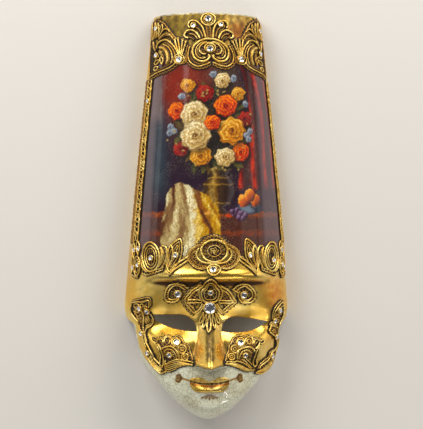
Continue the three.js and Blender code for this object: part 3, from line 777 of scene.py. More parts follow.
class LaceWork:
    def __init__(self, node, place):
        self.node = node
        self.place = place
        self.cords = []
        self.random = np.random.default_rng(len(node) * 7 + ord(node[0]))

    def cord(self, points, radius=None, lift=0.0, closed=False, smoothed=True):
        path = smoothPath(points, thread["step"], closed) if smoothed else np.array(points, float)
        self.cords.append((path, radius or thread["cord"], thread["lift"] + lift, closed))

    def petal(self, base, tip, width, bend=0.0, blunt=1.3):
        # Nested loops round a bent line, widest towards the tip.
        base, tip = np.array(base, float), np.array(tip, float)
        along = tip - base
        length = np.linalg.norm(along)
        across = np.array([along[1], -along[0]]) / length
        for k, inset in enumerate(np.arange(0, width / 2 - 0.8, thread["pitch"])):
            t = np.linspace(0.03 + inset * 1.7 / length, 1 - inset * 1.1 / length, 9)[:, None]
            line = base + along * t + across * bend * 4 * t * (1 - t)
            normal = acrossLine(line)
            u = (t - t[0]) / (t[-1] - t[0])
            half = (width / 2 - inset) * np.sin(np.pi * np.clip(u, 0, 1) ** blunt) ** 0.75
            loop = np.concatenate([line + normal * half, (line - normal * half)[-2:0:-1]])
            self.cord(loop, thread["outline" if k == 0 else "cord"], 0.35 if k == 0 else 0.0, closed=True)

    def band(self, points, width, taper=0.15, lift=0.55):
        # Side-by-side cords along a line, drawing together at its ends.
        path = smoothPath(points, thread["step"])
        normal = acrossLine(path)
        swell = (1 - taper + taper * np.sin(np.pi * np.linspace(0, 1, len(path))) ** 0.6)[:, None]
        cords = 1 + max(1, round(width / thread["pitch"]))
        for k in range(cords):
            edge = k in (0, cords - 1)
            self.cord(path + normal * width * (k / (cords - 1) - 0.5) * swell,
                      thread["outline" if edge else "cord"], lift + (0.2 if edge else 0.0), smoothed=False)

    def ladder(self, outer, inner, count, outerSize=(0.98, 0.7), innerSize=(0.66, 0.3), barred=slice(None)):
        # Two cords, each with its radius and lift, and bars from the barred part of the outer one.
        self.cord(outer, *outerSize)
        self.cord(inner, *innerSize)
        self.bars(outer[barred], inner, count)

    def bars(self, first, second, count):
        # A ladder of fine threads between two lines.
        first, second = smoothPath(first, 0.3), smoothPath(second, 0.3)
        for t in np.linspace(0, 1, count):
            self.cord([first[round(t * (len(first) - 1))], second[round(t * (len(second) - 1))]],
                      thread["fine"], -0.1)

    def satin(self, points, width, taper=0.9):
        # A close, raised filling between two outlines.
        path = smoothPath(points, thread["step"])
        normal = acrossLine(path)
        swell = (1 - taper + taper * np.sin(np.pi * np.linspace(0, 1, len(path))) ** 0.7)[:, None]
        count = max(3, round(width / 0.95))
        for k in range(count):
            offset = k / (count - 1) - 0.5
            crown = 0.75 * (1 - 4 * offset ** 2)
            self.cord(path + normal * width * offset * swell, thread["satin"], 0.15 + crown, smoothed=False)

    def between(self, first, second, count, swell=0.6):
        # A close, raised filling that runs from one line over to another.
        first, second = smoothPath(first, thread["step"]), smoothPath(second, thread["step"])
        stops = np.linspace(0, 1, max(len(first), len(second)))
        first, second = (np.stack([np.interp(stops, np.linspace(0, 1, len(path)), path[:, k])
                                   for k in (0, 1)], axis=-1)
                         for path in (first, second))
        for t in np.linspace(0, 1, count):
            self.cord(first + (second - first) * t, thread["satin"], 0.15 + swell * 4 * t * (1 - t),
                      smoothed=False)

    def ring(self, centre, rx, ry=None, radius=None, lift=0.3, turn=0.0):
        ry = ry or rx
        count = max(8, round(2 * math.pi * max(rx, ry) / thread["step"]))
        a = np.linspace(0, 2 * np.pi, count + 1)[:-1]
        spin = math.radians(turn)
        x, y = rx * np.cos(a), ry * np.sin(a)
        loop = np.stack([centre[0] + x * math.cos(spin) - y * math.sin(spin),
                         centre[1] + x * math.sin(spin) + y * math.cos(spin)], axis=-1)
        self.cord(loop, radius or thread["outline"], lift, closed=True, smoothed=False)

    def spokes(self, centre, inner, outer, count, start=0.0, sweep=360.0, squash=1.0):
        for k in range(count):
            a = start + sweep * k / count
            self.cord([onCircle(centre, inner, a, squash), onCircle(centre, outer, a, squash)],
                      thread["fine"], -0.1)

    def scallops(self, points, size, count, radius=None, lift=0.1):
        # A row of open loops along a line, on its left.
        path = smoothPath(points, 0.3)
        marks = path[np.linspace(0, len(path) - 1, count + 1).astype(int)]
        for a, b in zip(marks, marks[1:]):
            way = (b - a) / np.linalg.norm(b - a)
            out = np.array([-way[1], way[0]]) * size * self.random.uniform(0.85, 1.15)
            self.cord([a, a * 0.75 + b * 0.25 + out * 0.85, (a + b) / 2 + out,
                       a * 0.25 + b * 0.75 + out * 0.85, b],
                      radius or thread["cord"], lift)

    def net(self, outline, pitch, turns=(35, -35)):
        # Crossed fine threads that fill an outline.
        outline = np.array(outline, float)
        centre = outline.mean(axis=0)
        reach = np.linalg.norm(outline - centre, axis=1).max()
        for turn in turns:
            a = math.radians(turn)
            way, side = np.array([math.cos(a), math.sin(a)]), np.array([-math.sin(a), math.cos(a)])
            for offset in np.arange(-reach, reach, pitch):
                line = centre + side * offset + way * np.arange(-reach, reach, thread["step"])[:, None]
                kept = insideOutline(line, outline)
                runs = np.flatnonzero(np.diff(np.r_[0, kept.astype(int), 0]))
                for start, end in zip(runs[::2], runs[1::2]):
                    if end - start > 2:
                        self.cord(line[start:end], thread["fine"], -0.15, smoothed=False)

    def mirrored(self):
        self.cords += [(path * (-1, 1), radius, lift, closed) for path, radius, lift, closed in self.cords]

    def shifted(self, dx, lean=0.0, level=0.0):
        for k, (path, *rest) in enumerate(self.cords):
            x, y = path.T
            self.cords[k] = (np.stack([x + dx + lean * (y - level), y], axis=-1), *rest)

    def onSurface(self, points, lift):
        across, row = self.place(points)
        normal = surfaceNormal(across, row)
        return surfacePoint(across, row) + normal * np.reshape(lift, (-1, 1)), normal

    def cordMesh(self, stones):
        # Hand-laid thread: every cord wavers a little in place and thickness.
        sizes = [len(path) for path, *rest in self.cords]
        points = np.concatenate([path for path, *rest in self.cords])
        waver = thread["waver"]
        points = points + waver * np.stack([drift(points[:, 0], points[:, 1], 7, 41),
                                            drift(points[:, 0], points[:, 1], 6, 43)], axis=-1)
        lifts = np.repeat([lift for path, radius, lift, closed in self.cords], sizes)
        lifts = lifts + waver * drift(points[:, 0], points[:, 1], 4, 47)
        radii = np.repeat([radius for path, radius, *rest in self.cords], sizes)
        radii = radii * (1 + 0.12 * drift(points[:, 0], points[:, 1], 3, 53))
        centres, normals = self.onSurface(points, lifts)
        closed = [shut for *rest, shut in self.cords]
        centres = inFrame(centres)
        for stone in stones:
            turn = stone["axis"].to_track_quat("Z", "Y").to_matrix()
            a = np.linspace(0, 2 * np.pi, seat["steps"] + 1)[:-1]
            ring = np.stack([np.cos(a), np.sin(a), 0 * a], axis=-1)
            ring = ring * (stone["radius"] + seat["clearance"] * mm) + (0, 0, -seat["ringDrop"] * mm)
            post = np.array([(0, 0, -seat["postFoot"] * mm), (0, 0, -seat["postTop"] * mm)])
            for local, radius, shut, lift in (
                    (ring, seat["ring"], True, seat["ringLift"]),
                    (post, stone["radius"] / mm * seat["post"], False, seat["postLift"])):
                centres = np.concatenate([centres, local @ np.array(turn).T + stone["centre"]])
                normals = np.concatenate([normals, np.tile(stone["axis"], (len(local), 1))])
                lifts = np.concatenate([lifts, np.full(len(local), lift)])
                radii = np.concatenate([radii, np.full(len(local), radius)])
                sizes.append(len(local))
                closed.append(shut)
        data = bpy.data.curves.new(self.node, "CURVE")
        data.dimensions = "3D"
        data.bevel_depth = mm  # times each point's own radius
        data.bevel_resolution = 1
        start = 0
        for size, shut in zip(sizes, closed):
            part = slice(start, start + size)
            start += size
            spline = data.splines.new("POLY")
            spline.points.add(size - 1)
            spline.points.foreach_set("co", np.c_[centres[part], np.ones(size)].ravel())
            spline.points.foreach_set("radius", radii[part])
            spline.use_cyclic_u = shut
        holder = bpy.data.objects.new(self.node, data)
        bpy.context.collection.objects.link(holder)
        ready = holder.evaluated_get(bpy.context.evaluated_depsgraph_get())
        mesh = bpy.data.meshes.new_from_object(ready)
        bpy.data.objects.remove(holder)
        sides = len(mesh.vertices) // len(centres)
        co = np.empty(len(mesh.vertices) * 3)
        mesh.vertices.foreach_get("co", co)
        away = co.reshape(-1, 3) - np.repeat(centres, sides, axis=0)
        height = (away * np.repeat(normals, sides, axis=0)).sum(axis=1) / mm + np.repeat(lifts, sides)
        # Height over the surface: the lace finish paints highlight on the high parts and shade on the low.
        setAttribute(mesh, "rise", np.clip((height - 0.3) / 2.2, 0, 1))
        bm = bmesh.new()
        bm.from_mesh(mesh)
        bmesh.ops.holes_fill(bm, edges=[e for e in bm.edges if e.is_boundary])
        bm.to_mesh(mesh)
        bm.free()
        self.points = centres
        return mesh

    def shadeSheetMesh(self):
        points = np.concatenate([path for path, *rest in self.cords])
        low, high = points.min(axis=0) - 2, points.max(axis=0) + 2
        tree = KDTree(len(points))
        for i, (x, y) in enumerate(points):
            tree.insert((x, y, 0), i)
        tree.balance()
        counts = np.ceil((high - low) / thread["groundPitch"]).astype(int)
        bm = bmesh.new()
        bmesh.ops.create_grid(bm, x_segments=counts[0], y_segments=counts[1], size=0.5)
        for v in bm.verts:
            v.co = Vector((low[0] + (v.co.x + 0.5) * (high[0] - low[0]),
                           low[1] + (v.co.y + 0.5) * (high[1] - low[1]), 0))
        spare = [f for f in bm.faces if tree.find(f.calc_center_median())[2] > thread["groundReach"]]
        bmesh.ops.delete(bm, geom=spare, context="FACES")
        chart = np.array([v.co[:2] for v in bm.verts])
        top, normal = self.onSurface(chart, np.full(len(chart), thread["groundTop"]))
        bottom, normal = self.onSurface(chart, np.full(len(chart), thread["groundBottom"]))
        spot = numbered(bm)
        made = bmesh.ops.extrude_face_region(bm, geom=bm.faces[:], use_keep_orig=True)
        raised = {g for g in made["geom"] if isinstance(g, bmesh.types.BMVert)}
        for v in bm.verts:
            v.co = Vector(inFrame((top if v in raised else bottom)[v[spot]]))
        bmesh.ops.recalc_face_normals(bm, faces=bm.faces[:])
        mesh = meshFrom(bm, self.node)
        # A low rise: the sheet is coloured as painted shade.
        setAttribute(mesh, "rise", np.full(len(mesh.vertices), 0.1))
        return mesh

    def make(self, name, material, stones):
        piece = bpy.data.objects.new(name, self.cordMesh(stones))
        ground = bpy.data.objects.new(name + "Ground", self.shadeSheetMesh())
        for part in (piece, ground):
            bpy.context.collection.objects.link(part)
        with bpy.context.temp_override(active_object=piece, object=piece,
                                       selected_editable_objects=[piece, ground],
                                       selected_objects=[piece, ground]):
            bpy.ops.object.join()
        piece.data.materials.clear()
        piece.data.materials.append(material)
        for polygon in piece.data.polygons:
            polygon.use_smooth = True
        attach(piece, "root")
        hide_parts(self.node)
        print(self.node, sum(len(p.vertices) - 2 for p in piece.data.polygons), "triangles")
        return self.points


def topLace():
    lace = LaceWork("top_lace", placeOnHat)
    # Upper and lower lobes that hook outwards, laddered between their cords.
    outer = [(3.4, 175.8), (4.2, 181.5), (5.3, 185.8), (7.4, 189.6), (10.4, 192.4), (14.3, 193.4),
             (17.4, 191.6), (18.4, 188.4), (16.9, 186)]
    inner = [(6.0, 176.6), (7.1, 180.8), (8.6, 184.2), (10.9, 186.4), (13.4, 187.6)]
    lace.ladder(outer, inner, 9, barred=slice(6))
    outer = [(8.6, 175.2), (10.4, 179.6), (13.1, 182.6), (16.9, 184.0), (20.6, 182.8), (22.8, 180.0),
             (22.4, 177.2), (19.5, 176.0)]
    inner = [(11.0, 175.0), (12.8, 178.1), (15.5, 179.9), (18.6, 180.2)]
    lace.ladder(outer, inner, 6, barred=slice(5))
    lace.cord([(14.6, 174), (17, 176.4), (19.4, 176.2)], 0.5, 0.1)
    # Great scroll round the middle stone: a thick cord, a thinner one inside it, and a loop with eyelets.
    lace.cord([(-0.8, 175.0), (3.9, 174.7), (9.0, 172.7), (13.4, 169.3), (16.3, 164.7), (16.7, 160.1),
               (15.1, 155.6), (11.4, 153.0), (7.2, 152.5), (3.4, 154.2), (1.6, 157.0), (2.6, 159.0)],
              1.12, 0.9)
    lace.cord([(2.7, 172.1), (7.0, 171.2), (10.8, 168.7), (13.3, 164.5), (13.7, 160.2), (12.0, 156.8),
               (8.4, 155.4), (5.2, 156.2)], 0.74, 0.45)
    lace.cord([(0, 171.0), (3.4, 171.1), (7.1, 169.6), (9.8, 166.1), (10.2, 162.7), (7.9, 160.1),
               (4.4, 159.8)], 0.8, 0.5)
    lace.cord([(11.6, 165.6), (12.0, 161.4), (9.8, 157.8)], None, 0.0)
    for spot in ((6.2, 168.4), (7.4, 163.0), (4.6, 161.8)):
        lace.ring(spot, 1.4, radius=0.46, lift=0.1)
    # Shell edge below the scroll.
    outer = [(18.4, 168), (20.9, 161.7), (21.4, 156.3), (20.0, 152.0), (17.4, 149.4), (13.7, 147.6),
             (9.4, 148.1), (4.7, 149.6), (1.1, 151.6)]
    inner = [(17.6, 163.4), (18.8, 158.6), (17.2, 153.6), (13.7, 150.8), (9.2, 150.2), (3.4, 152.2)]
    lace.ladder(outer, inner, 15, (0.8, 0.4), (0.55, 0.1), slice(1, None))
    lace.scallops([(1.2, 150), (5, 147.8), (9.4, 146.4), (14, 146), (18.4, 148.2), (21.6, 151.8),
                   (23, 157)][::-1], 1.3, 9, 0.56)
    # Fan of rays.
    for ray in ([(30.6, 158.6), (32.6, 164.5), (35.8, 169.6), (39.4, 173.4)],
                [(30.2, 159.4), (31.3, 165.2), (32.5, 170.7), (33.7, 175.4)],
                [(29.0, 159.7), (29.2, 165.9), (29.5, 170), (29.7, 175.6)],
                [(27.9, 159.6), (26.9, 165.8), (25.9, 170.4), (25.1, 174.8)],
                [(27.0, 159.6), (24.9, 164.9), (23.2, 169.5), (22.0, 172.9)]):
        lace.cord(ray, 0.88, 0.5)
        lace.ring(ray[-1], 1.1, radius=0.5, lift=0.4)
    for ray in ([(31.2, 161.5), (34, 168.4), (36.4, 171.6)], [(29.8, 162), (30.8, 168.4), (31.6, 173)],
                [(28.6, 162), (27.9, 168), (27.4, 172.8)], [(26.8, 162.4), (25.1, 167.6), (24, 171)]):
        lace.cord(ray, 0.4, -0.1)
    lace.ring((30.6, 155.2), 5.2, 4.8, radius=0.8, lift=0.3)
    lace.ring((27.0, 154.4), 3.6, 3.8, radius=0.6, lift=0.1)
    lace.cord([(24.9, 151.8), (23.2, 156.4), (22.9, 162), (20.6, 169)], 0.66, 0.2)
    # Thick smooth loop with its outlines, under leaf-like arches.
    lace.satin([(53.6, 168.6), (48.9, 167.8), (44.9, 164.7), (42.9, 159.7), (43.2, 154.6), (45.2, 150.9)],
               3.6, taper=0.35)
    lace.cord([(47.6, 171.2), (41.4, 168.0), (38.2, 162.4), (37.7, 155.5), (39.6, 151.0)], 0.8, 0.4)
    lace.cord([(41.8, 171.4), (36.9, 166.6), (34.4, 160.4), (34.0, 155.9)], 0.72, 0.3)
    lace.cord([(50.6, 162.4), (48.4, 158.8), (48.6, 153.6)], 0.62, 0.1)
    lace.cord([(57.8, 167.9), (55.9, 171.9), (51.4, 174.5), (45.9, 175.6), (41.0, 174.5), (37.6, 171.1)],
              0.95, 0.7)
    lace.satin([(53.5, 177.0), (48.3, 180.0), (42.9, 181.4), (37.8, 179.6), (35.0, 176.0)], 2.6, taper=0.6)
    lace.cord([(49.6, 183.4), (45.6, 186.4), (41.1, 186.2), (37.9, 183.2)], 0.86, 0.5)
    lace.cord([(52, 195.2), (45.6, 192.6), (41.2, 187.8), (37.0, 182.6), (33.7, 178.2), (31.1, 175.7)],
              0.66, 0.25)
    for root, tip, width in (((55.4, 178.8), (48.0, 192.2), 3.6), ((59.6, 178.0), (54.6, 194.0), 3.8),
                             ((63.8, 177.6), (60.6, 195.4), 3.6)):
        lace.petal(root, tip, width, bend=-1.2)
    lace.scallops([(36.4, 183.4), (41.2, 189.4), (46.4, 194), (53, 197), (61, 197.6), (69, 196)][::-1], 1.3,
                  10, 0.5)
    for root, tip in (((54.6, 159.4), (62.6, 160.6)), ((53.0, 155.8), (62.4, 152.2)),
                      ((50.4, 150.6), (51.6, 159.0)), ((56, 148.6), (63.6, 146.6))):
        lace.petal(root, tip, 3.8)
    lace.satin([(60.2, 165.6), (63.6, 170.8), (64.2, 175.8)], 2.6)
    lace.cord([(67.4, 177), (68.6, 186), (67.8, 195)], 0.8, 0.4)
    lace.cord([(73, 138.5), (73, 165), (72.6, 194)], 0.8, 0.2)
    lace.net([(64.4, 145.6), (71.4, 143), (72, 176), (66.5, 174), (64.4, 157)], 3.2)
    lace.cord([(34.4, 152.0), (39, 148.4), (46.6, 145.6), (57.3, 143.2), (73, 139)], 0.8, 0.4)
    lace.cord([(36.6, 152.8), (46, 148.6), (58, 145.4), (73, 142)], 0.5, 0.1)
    lace.scallops([(33.4, 150.8), (38.4, 146.8), (46.5, 143.8), (58, 141.4), (73, 137.2)][::-1], 1.4, 11,
                  0.52)
    lace.mirrored()
    lace.shifted(1.4, -0.085, 166)
    lace.ring((-0.4, 194.4), 6.4, 6.0, 0.95, 0.7)
    lace.ring((-0.4, 194.4), 4.4, 4.2, 0.6, 0.5)
    for level in range(6):
        lace.ring((0.5 - level * 0.19, 177.4 + level * 2.3), 1.25, 0.95, 0.46, 0.1)
    lace.cord([(-1.2, 176.4), (-2.3, 188.2)], None, 0.1)
    lace.cord([(2.6, 176.4), (1.0, 188.2)], None, 0.1)
    lace.ring((1.2, 166), 4.9, 4.3, 0.72, 0.6)
    return lace


def crownLace():
    lace = LaceWork("crown_lace", placeOnHat)
    middle = (0.2, -34.3)
    # Netted fans either side of the rosette, inside a picot edge.
    edge = [(0, -17.8), (5, -19.4), (10, -23.6), (14.6, -28.2), (20.6, -31.2), (24.4, -36.0),
            (24.6, -41.2), (22, -46.4), (17.4, -50.4), (11.8, -52.0), (6.4, -50.6)]
    inside = [(11.4, -29.4), (15.0, -33.0), (19.8, -36.2), (20.4, -41.4), (17.0, -46.2), (12.0, -48.6),
              (7.2, -48.0)]
    lace.ladder(edge[3:], inside, 19, (0.62, 0.2), (0.5, 0.0))
    for spot in ((17.2, -35.4), (18.3, -39.6), (16.6, -43.8), (12.9, -46.9)):
        lace.ring(spot, 1.3, radius=0.44, lift=0.1)
    for k in range(7):
        a = 90 - k * 11.0
        lace.cord([onCircle(middle, 12.4, a, 0.86), onCircle(middle, 16.2 + 0.2 * k, a, 0.96)],
                  thread["fine"], -0.1)
    lace.scallops(edge[::-1], 1.6, 21, 0.54)
    # Crescent that holds the rosette, with a dark gap under the ring.
    lace.cord([(14.0, -31.4), (16.4, -36.4), (15.6, -41.0), (11.9, -44.6), (5.4, -46.2), (0, -45.6)], 0.98,
              0.8)
    # Pointed leaf, the two cords of the blade that crosses its foot, and a small lobe beside it.
    lace.petal((43.4, -56), (31.8, -22.6), 14.4, bend=1.2, blunt=1.0)
    lace.cord([(42.6, -52), (39.8, -42), (33.6, -29.6)], 0.5, 0.0)
    lace.cord([(42.8, -57.4), (37.4, -52.2), (32.2, -48.6), (24.2, -43.0)], 0.9, 0.6)
    lace.cord([(42.4, -54.2), (38.2, -49.2), (32.8, -45.0), (24.2, -39.4)], 0.9, 0.6)
    lace.petal((44.8, -52), (41.6, -28.2), 5.0, bend=-1.0)
    lace.cord([(51.0, -29.6), (47.3, -30.0), (45.4, -34.0), (46.0, -40.2), (48.4, -46.4), (51.5, -50.6)],
              0.86, 0.5)
    # Oval medallion with a pit for its stone, between bright crescents.
    oval = (65.0, -40.4)
    for rx, ry, size, lift in ((11.2, 14.4, 1.0, 0.7), (8.2, 11.2, 0.74, 0.4), (5.6, 8.4, 0.6, 0.2)):
        lace.ring(oval, rx, ry, size, lift, turn=-5)
    lace.spokes(oval, 2.6, 5.4, 10, squash=1.5)
    lace.satin([(52.6, -30.4), (50.6, -37), (52, -44), (57, -50.8)], 3.8)
    lace.satin([(77.4, -38.8), (78.0, -45.2), (75.6, -50.9), (69.6, -55.6)], 2.6)
    lace.scallops([(50.4, -52.0), (56.4, -54.0), (62.6, -55.4), (69.4, -57.2), (76.4, -55.6)], -1.5, 7, 0.6,
                  0.2)
    lace.cord([(49.6, -50.6), (56.6, -52.8), (63, -54.6)], 0.6, 0.2)
    # Small oval on the hat's side, with loops up to the braid.
    side = (86.0, -49.8)
    for rx, ry, size in ((5.6, 9.6, 0.8), (3.2, 6.6, 0.6)):
        lace.ring(side, rx, ry, size, 0.35)
    lace.petal((84.4, -39.6), (85.2, -25), 6.0)
    lace.petal((92.8, -44), (94.8, -27), 6.4)
    lace.cord([(96.3, -57), (98.4, -48), (97.6, -38)], 0.8, 0.4)
    lace.cord([(93.4, -56), (94.9, -48.5), (94.6, -42)], 0.6, 0.2)
    lace.scallops([(84, -60.4), (90, -59.4), (97.5, -57.8)], -1.4, 4, 0.56)
    lace.mirrored()
    lace.shifted(3.9)
    rosette = (4.1, -34.3)
    lace.ring(rosette, 12.3, 10.7, 1.12, 1.0)
    lace.cord([(-1.1, -44.4), (4.0, -47.4), (9.9, -44.4)], 0.85, 0.7)
    lace.spokes(rosette, 6.4, 10.4, 14, squash=0.87)
    lace.ring(rosette, 6.2, 5.4, 0.55, 0.2)
    for a in range(0, 360, 72):
        lace.cord([onCircle(rosette, 1.0, a), onCircle(rosette, 2.8, a + 34, 0.9),
                   onCircle(rosette, 4.4, a + 86, 0.9)], 0.5, 0.2)
    lace.ring((3.9, -35.0), 1.0, radius=0.62, lift=0.6)
    lace.ring((3.5, -52.5), 6.0, 5.0, 0.95, 0.9)
    lace.ring((3.5, -52.5), 4.0, 3.3, 0.55, 0.5)
    return lace


braid = {"top": 137.0, "bottom": -27.0, "twist": 11.5, "knots": (9, 19), "closePitch": 1.25,
         "picotPitch": 4.4}


def sideBraid(node, innerAngle, outerAngle, plain):
    # A narrow gimp: a knotted edge beside the picture, then plain close cords out to a ragged edge.
    lace = LaceWork(node, placeOnHat)
    y = np.arange(braid["bottom"], braid["top"], thread["step"])
    radius = (halfWidthAt(y) + depthAt(y)) / 2
    inner, outer = np.radians(innerAngle) * radius, np.radians(outerAngle) * radius
    out = 1 if outerAngle > innerAngle else -1
    width = np.abs(outer - inner)
    knotted = width * (1 - plain)
    wander = 0.9 * drift(y, 0 * y, 22, 71)

    def line(part, wave=0.0):
        return np.stack([inner + out * (knotted * part + wave + wander), y], axis=-1)

    lace.cord(line(0.06), thread["outline"], 0.5, smoothed=False)
    lace.cord(line(0.96, 0.4 * drift(y, 0 * y, 5, 73)), thread["cord"], 0.4, smoothed=False)
    spin = y * 2 * math.pi / braid["twist"] + 2.0 * drift(y, 0 * y, 17, 75)
    for phase, swing, seed in ((0, 0.44, 81), (math.pi, 0.36, 82)):
        path = line(0.5, np.sin(spin + phase + 0.7 * drift(y, 0 * y, 11, seed)) * knotted * swing)
        lace.cord(path, 0.6, 0.2, smoothed=False)
    knot = braid["bottom"] + braid["knots"][0]
    while knot < braid["top"] - 6:
        k = np.abs(y - knot).argmin()
        lace.ring((inner[k] + out * knotted[k] * 0.5, y[k]), knotted[k] * 0.36, 1.8, 0.66, 0.8)
        knot += lace.random.uniform(*braid["knots"])
    count = round(float(width.mean()) * plain / braid["closePitch"])
    for k in range(count):
        offset = knotted + (width - knotted) * (k + 0.8) / count
        offset = offset + wander * 0.6 + 0.25 * drift(y, k + 0 * y, 6, 77)
        lace.cord(np.stack([inner + out * offset, y], axis=-1), thread["satin"] + 0.12, -0.3,
                  smoothed=False)
    edge = np.stack([outer + out * wander * 0.6, y], axis=-1)
    lace.scallops(edge[::6] if out < 0 else edge[::-6], 1.6,
                  round((braid["top"] - braid["bottom"]) / braid["picotPitch"]), thread["fine"])
    return lace


browLines = {
    "leftPaisley": [(-28.8, -80.9), (-32.0, -83.3), (-35.3, -84.4), (-38.3, -84.2), (-41.3, -83.3),
                    (-42.8, -80.0), (-42.4, -75.5), (-40.9, -71.2), (-38.2, -68.1), (-35.2, -65.7),
                    (-31.4, -64.9), (-27.5, -65.7), (-23.9, -68.2), (-20.6, -70.4)],
    "leftEye": (-31.5, -75.6),
    "rightPaisley": [(22.6, -72.5), (25.7, -69.5), (29.6, -67.1), (33.8, -65.7), (37.6, -67.4),
                     (41.8, -71.0), (44.8, -74.8), (45.6, -78.8), (44.4, -82.1), (40.5, -84.9),
                     (34.8, -85.4), (31.2, -84.3), (28.9, -81.6)],
    "rightEye": (34.9, -76.2),
    "rightInner": [(29.5, -73.8), (28.3, -77.3), (28.9, -81.1), (31.2, -83.5), (34.8, -84.1),
                   (39.2, -83.1)],
    "rightHook": [(23.0, -72.9), (26.3, -73.9), (28.1, -75.7), (27.6, -78.6)],
    "leftWing": [(-8.3, -65.4), (-11.1, -68.6), (-14.9, -71.0), (-18.1, -73.7), (-20.6, -77.0),
                 (-23.1, -79.8), (-23.6, -82.0), (-22.8, -85.3), (-20.5, -88.7), (-17.0, -92.2),
                 (-14.6, -94.8)],
    "leftBars": [[(-21.9, -82.5), (-17.7, -81.6), (-12.9, -81.7), (-8.5, -81.9)],
                 [(-21.9, -84.9), (-17.7, -84.7), (-12.9, -84.6), (-7.5, -84.6)]],
    "leftStrap": [(-14.2, -95.2), (-10.2, -92.9), (-7.8, -89.8), (-5.8, -85.8)],
    "rightWing": [(10.4, -68.2), (14.5, -70.4), (17.9, -72.4), (20.8, -75.8), (23.2, -80.0), (25.9, -84.1),
                  (22.4, -87.5), (18.1, -91.2), (13.8, -94.8)],
    "rightBars": [[(9.8, -82.3), (14.1, -82.6), (19.0, -82.9), (24.3, -83.1)],
                  [(8.8, -84.9), (14.1, -85.1), (19.0, -85.2), (24.3, -84.9)]],
    "rightStrap": [(6.5, -86.0), (9.2, -90.8), (13.2, -94.9)],
    "onion": [(-3.8, -69.3), (-2.0, -65.0), (0.8, -63.4), (3.8, -65.0), (5.8, -69.3), (8.1, -71.7),
              (9.4, -75.1), (8.6, -79.4), (7.3, -82.3), (4.0, -83.9), (0.5, -84.4), (-3.3, -83.8),
              (-5.8, -82.5), (-7.2, -78.9), (-7.8, -75.0), (-6.7, -72.1)],
    "onionEdge": [(-6.8, -83.6), (-9.0, -79.9), (-10.2, -75.6), (-9.3, -70.9), (-6.3, -67.9),
                  (-4.3, -63.2), (0.6, -60.7), (5.5, -62.8), (8.3, -67.3), (11.3, -70.9), (12.5, -75.1),
                  (11.3, -79.8), (9.0, -83.5)],
    "drops": [[(-5.0, -94.0), (-8.1, -105.9)], [(-2.4, -95.6), (-4.8, -110.4)],
              [(0.2, -96.2), (-0.8, -114.4)], [(2.6, -96.0), (4.3, -110.4)],
              [(5.2, -94.6), (9.4, -106.0)]],
}


def browLace():
    lace = LaceWork("brow_lace", placeOnFace)
    line = browLines
    for side, inward in (("left", 0.72), ("right", 0.7)):
        eye = np.array(line[side + "Eye"])
        outline = np.array(line[side + "Paisley"])
        second = eye + (outline - eye) * inward
        lace.ladder(outline, second, 19, (thread["outline"], 0.5), (thread["cord"], 0.3))
        lace.ring(eye, 2.6, radius=thread["fine"], lift=0.2)
        lace.spokes(eye, 2.6, 5.4, 9)
        lace.scallops((eye + (outline - eye) * 1.1)[::1 if side == "left" else -1],
                      -1.1 if side == "left" else 1.1, 13, thread["fine"])
        # Wing: an edge of two cords, a netted middle and a bar of two cords across.
        wing = np.array(line[side + "Wing"])
        middle = np.array((-10.5 if side == "left" else 11.5, -82.0))
        within = middle + (wing - middle) * 0.78
        lace.ladder(wing, within, 21, (thread["outline"], 0.5), (thread["cord"], 0.25))
        for bar in line[side + "Bars"]:
            lace.cord(bar, 0.62, 0.35)
        lace.net(np.concatenate([within[:-1], [(within[-1] + middle) / 2]]), 2.9,
                 (58, -32) if side == "left" else (32, -58))
        lace.band(line[side + "Strap"], 2.0)
        lace.scallops((middle + (wing - middle) * 1.1)[::1 if side == "left" else -1],
                      -1.2 if side == "left" else 1.2, 10, thread["fine"])
    lace.cord(line["rightInner"], 0.6, 0.3)
    lace.cord(line["rightHook"], 0.72, 0.45)
    # Onion-shaped rosette, open and dark inside.
    onion = np.array(line["onion"])
    lace.cord(onion, 0.86, 0.75, closed=True)
    lace.cord(line["onionEdge"], 0.74, 0.45)
    lace.bars(line["onionEdge"], onion[[12, 13, 14, 15, 0, 1, 2, 3, 4, 5, 6, 7, 8]], 23)
    centre = np.array((0.7, -75.4))
    lace.cord(centre + (onion - centre) * 0.72, 0.5, 0.3, closed=True)
    lace.spokes(centre, 3.2, 5.6, 8)
    lace.ring((0.4, -90.2), 5.6, 5.0, radius=0.8, lift=0.6)
    # Drops over the bridge of the nose.
    for root, tip in line["drops"]:
        lace.petal(root, tip, 2.7, blunt=1.4)
    return lace


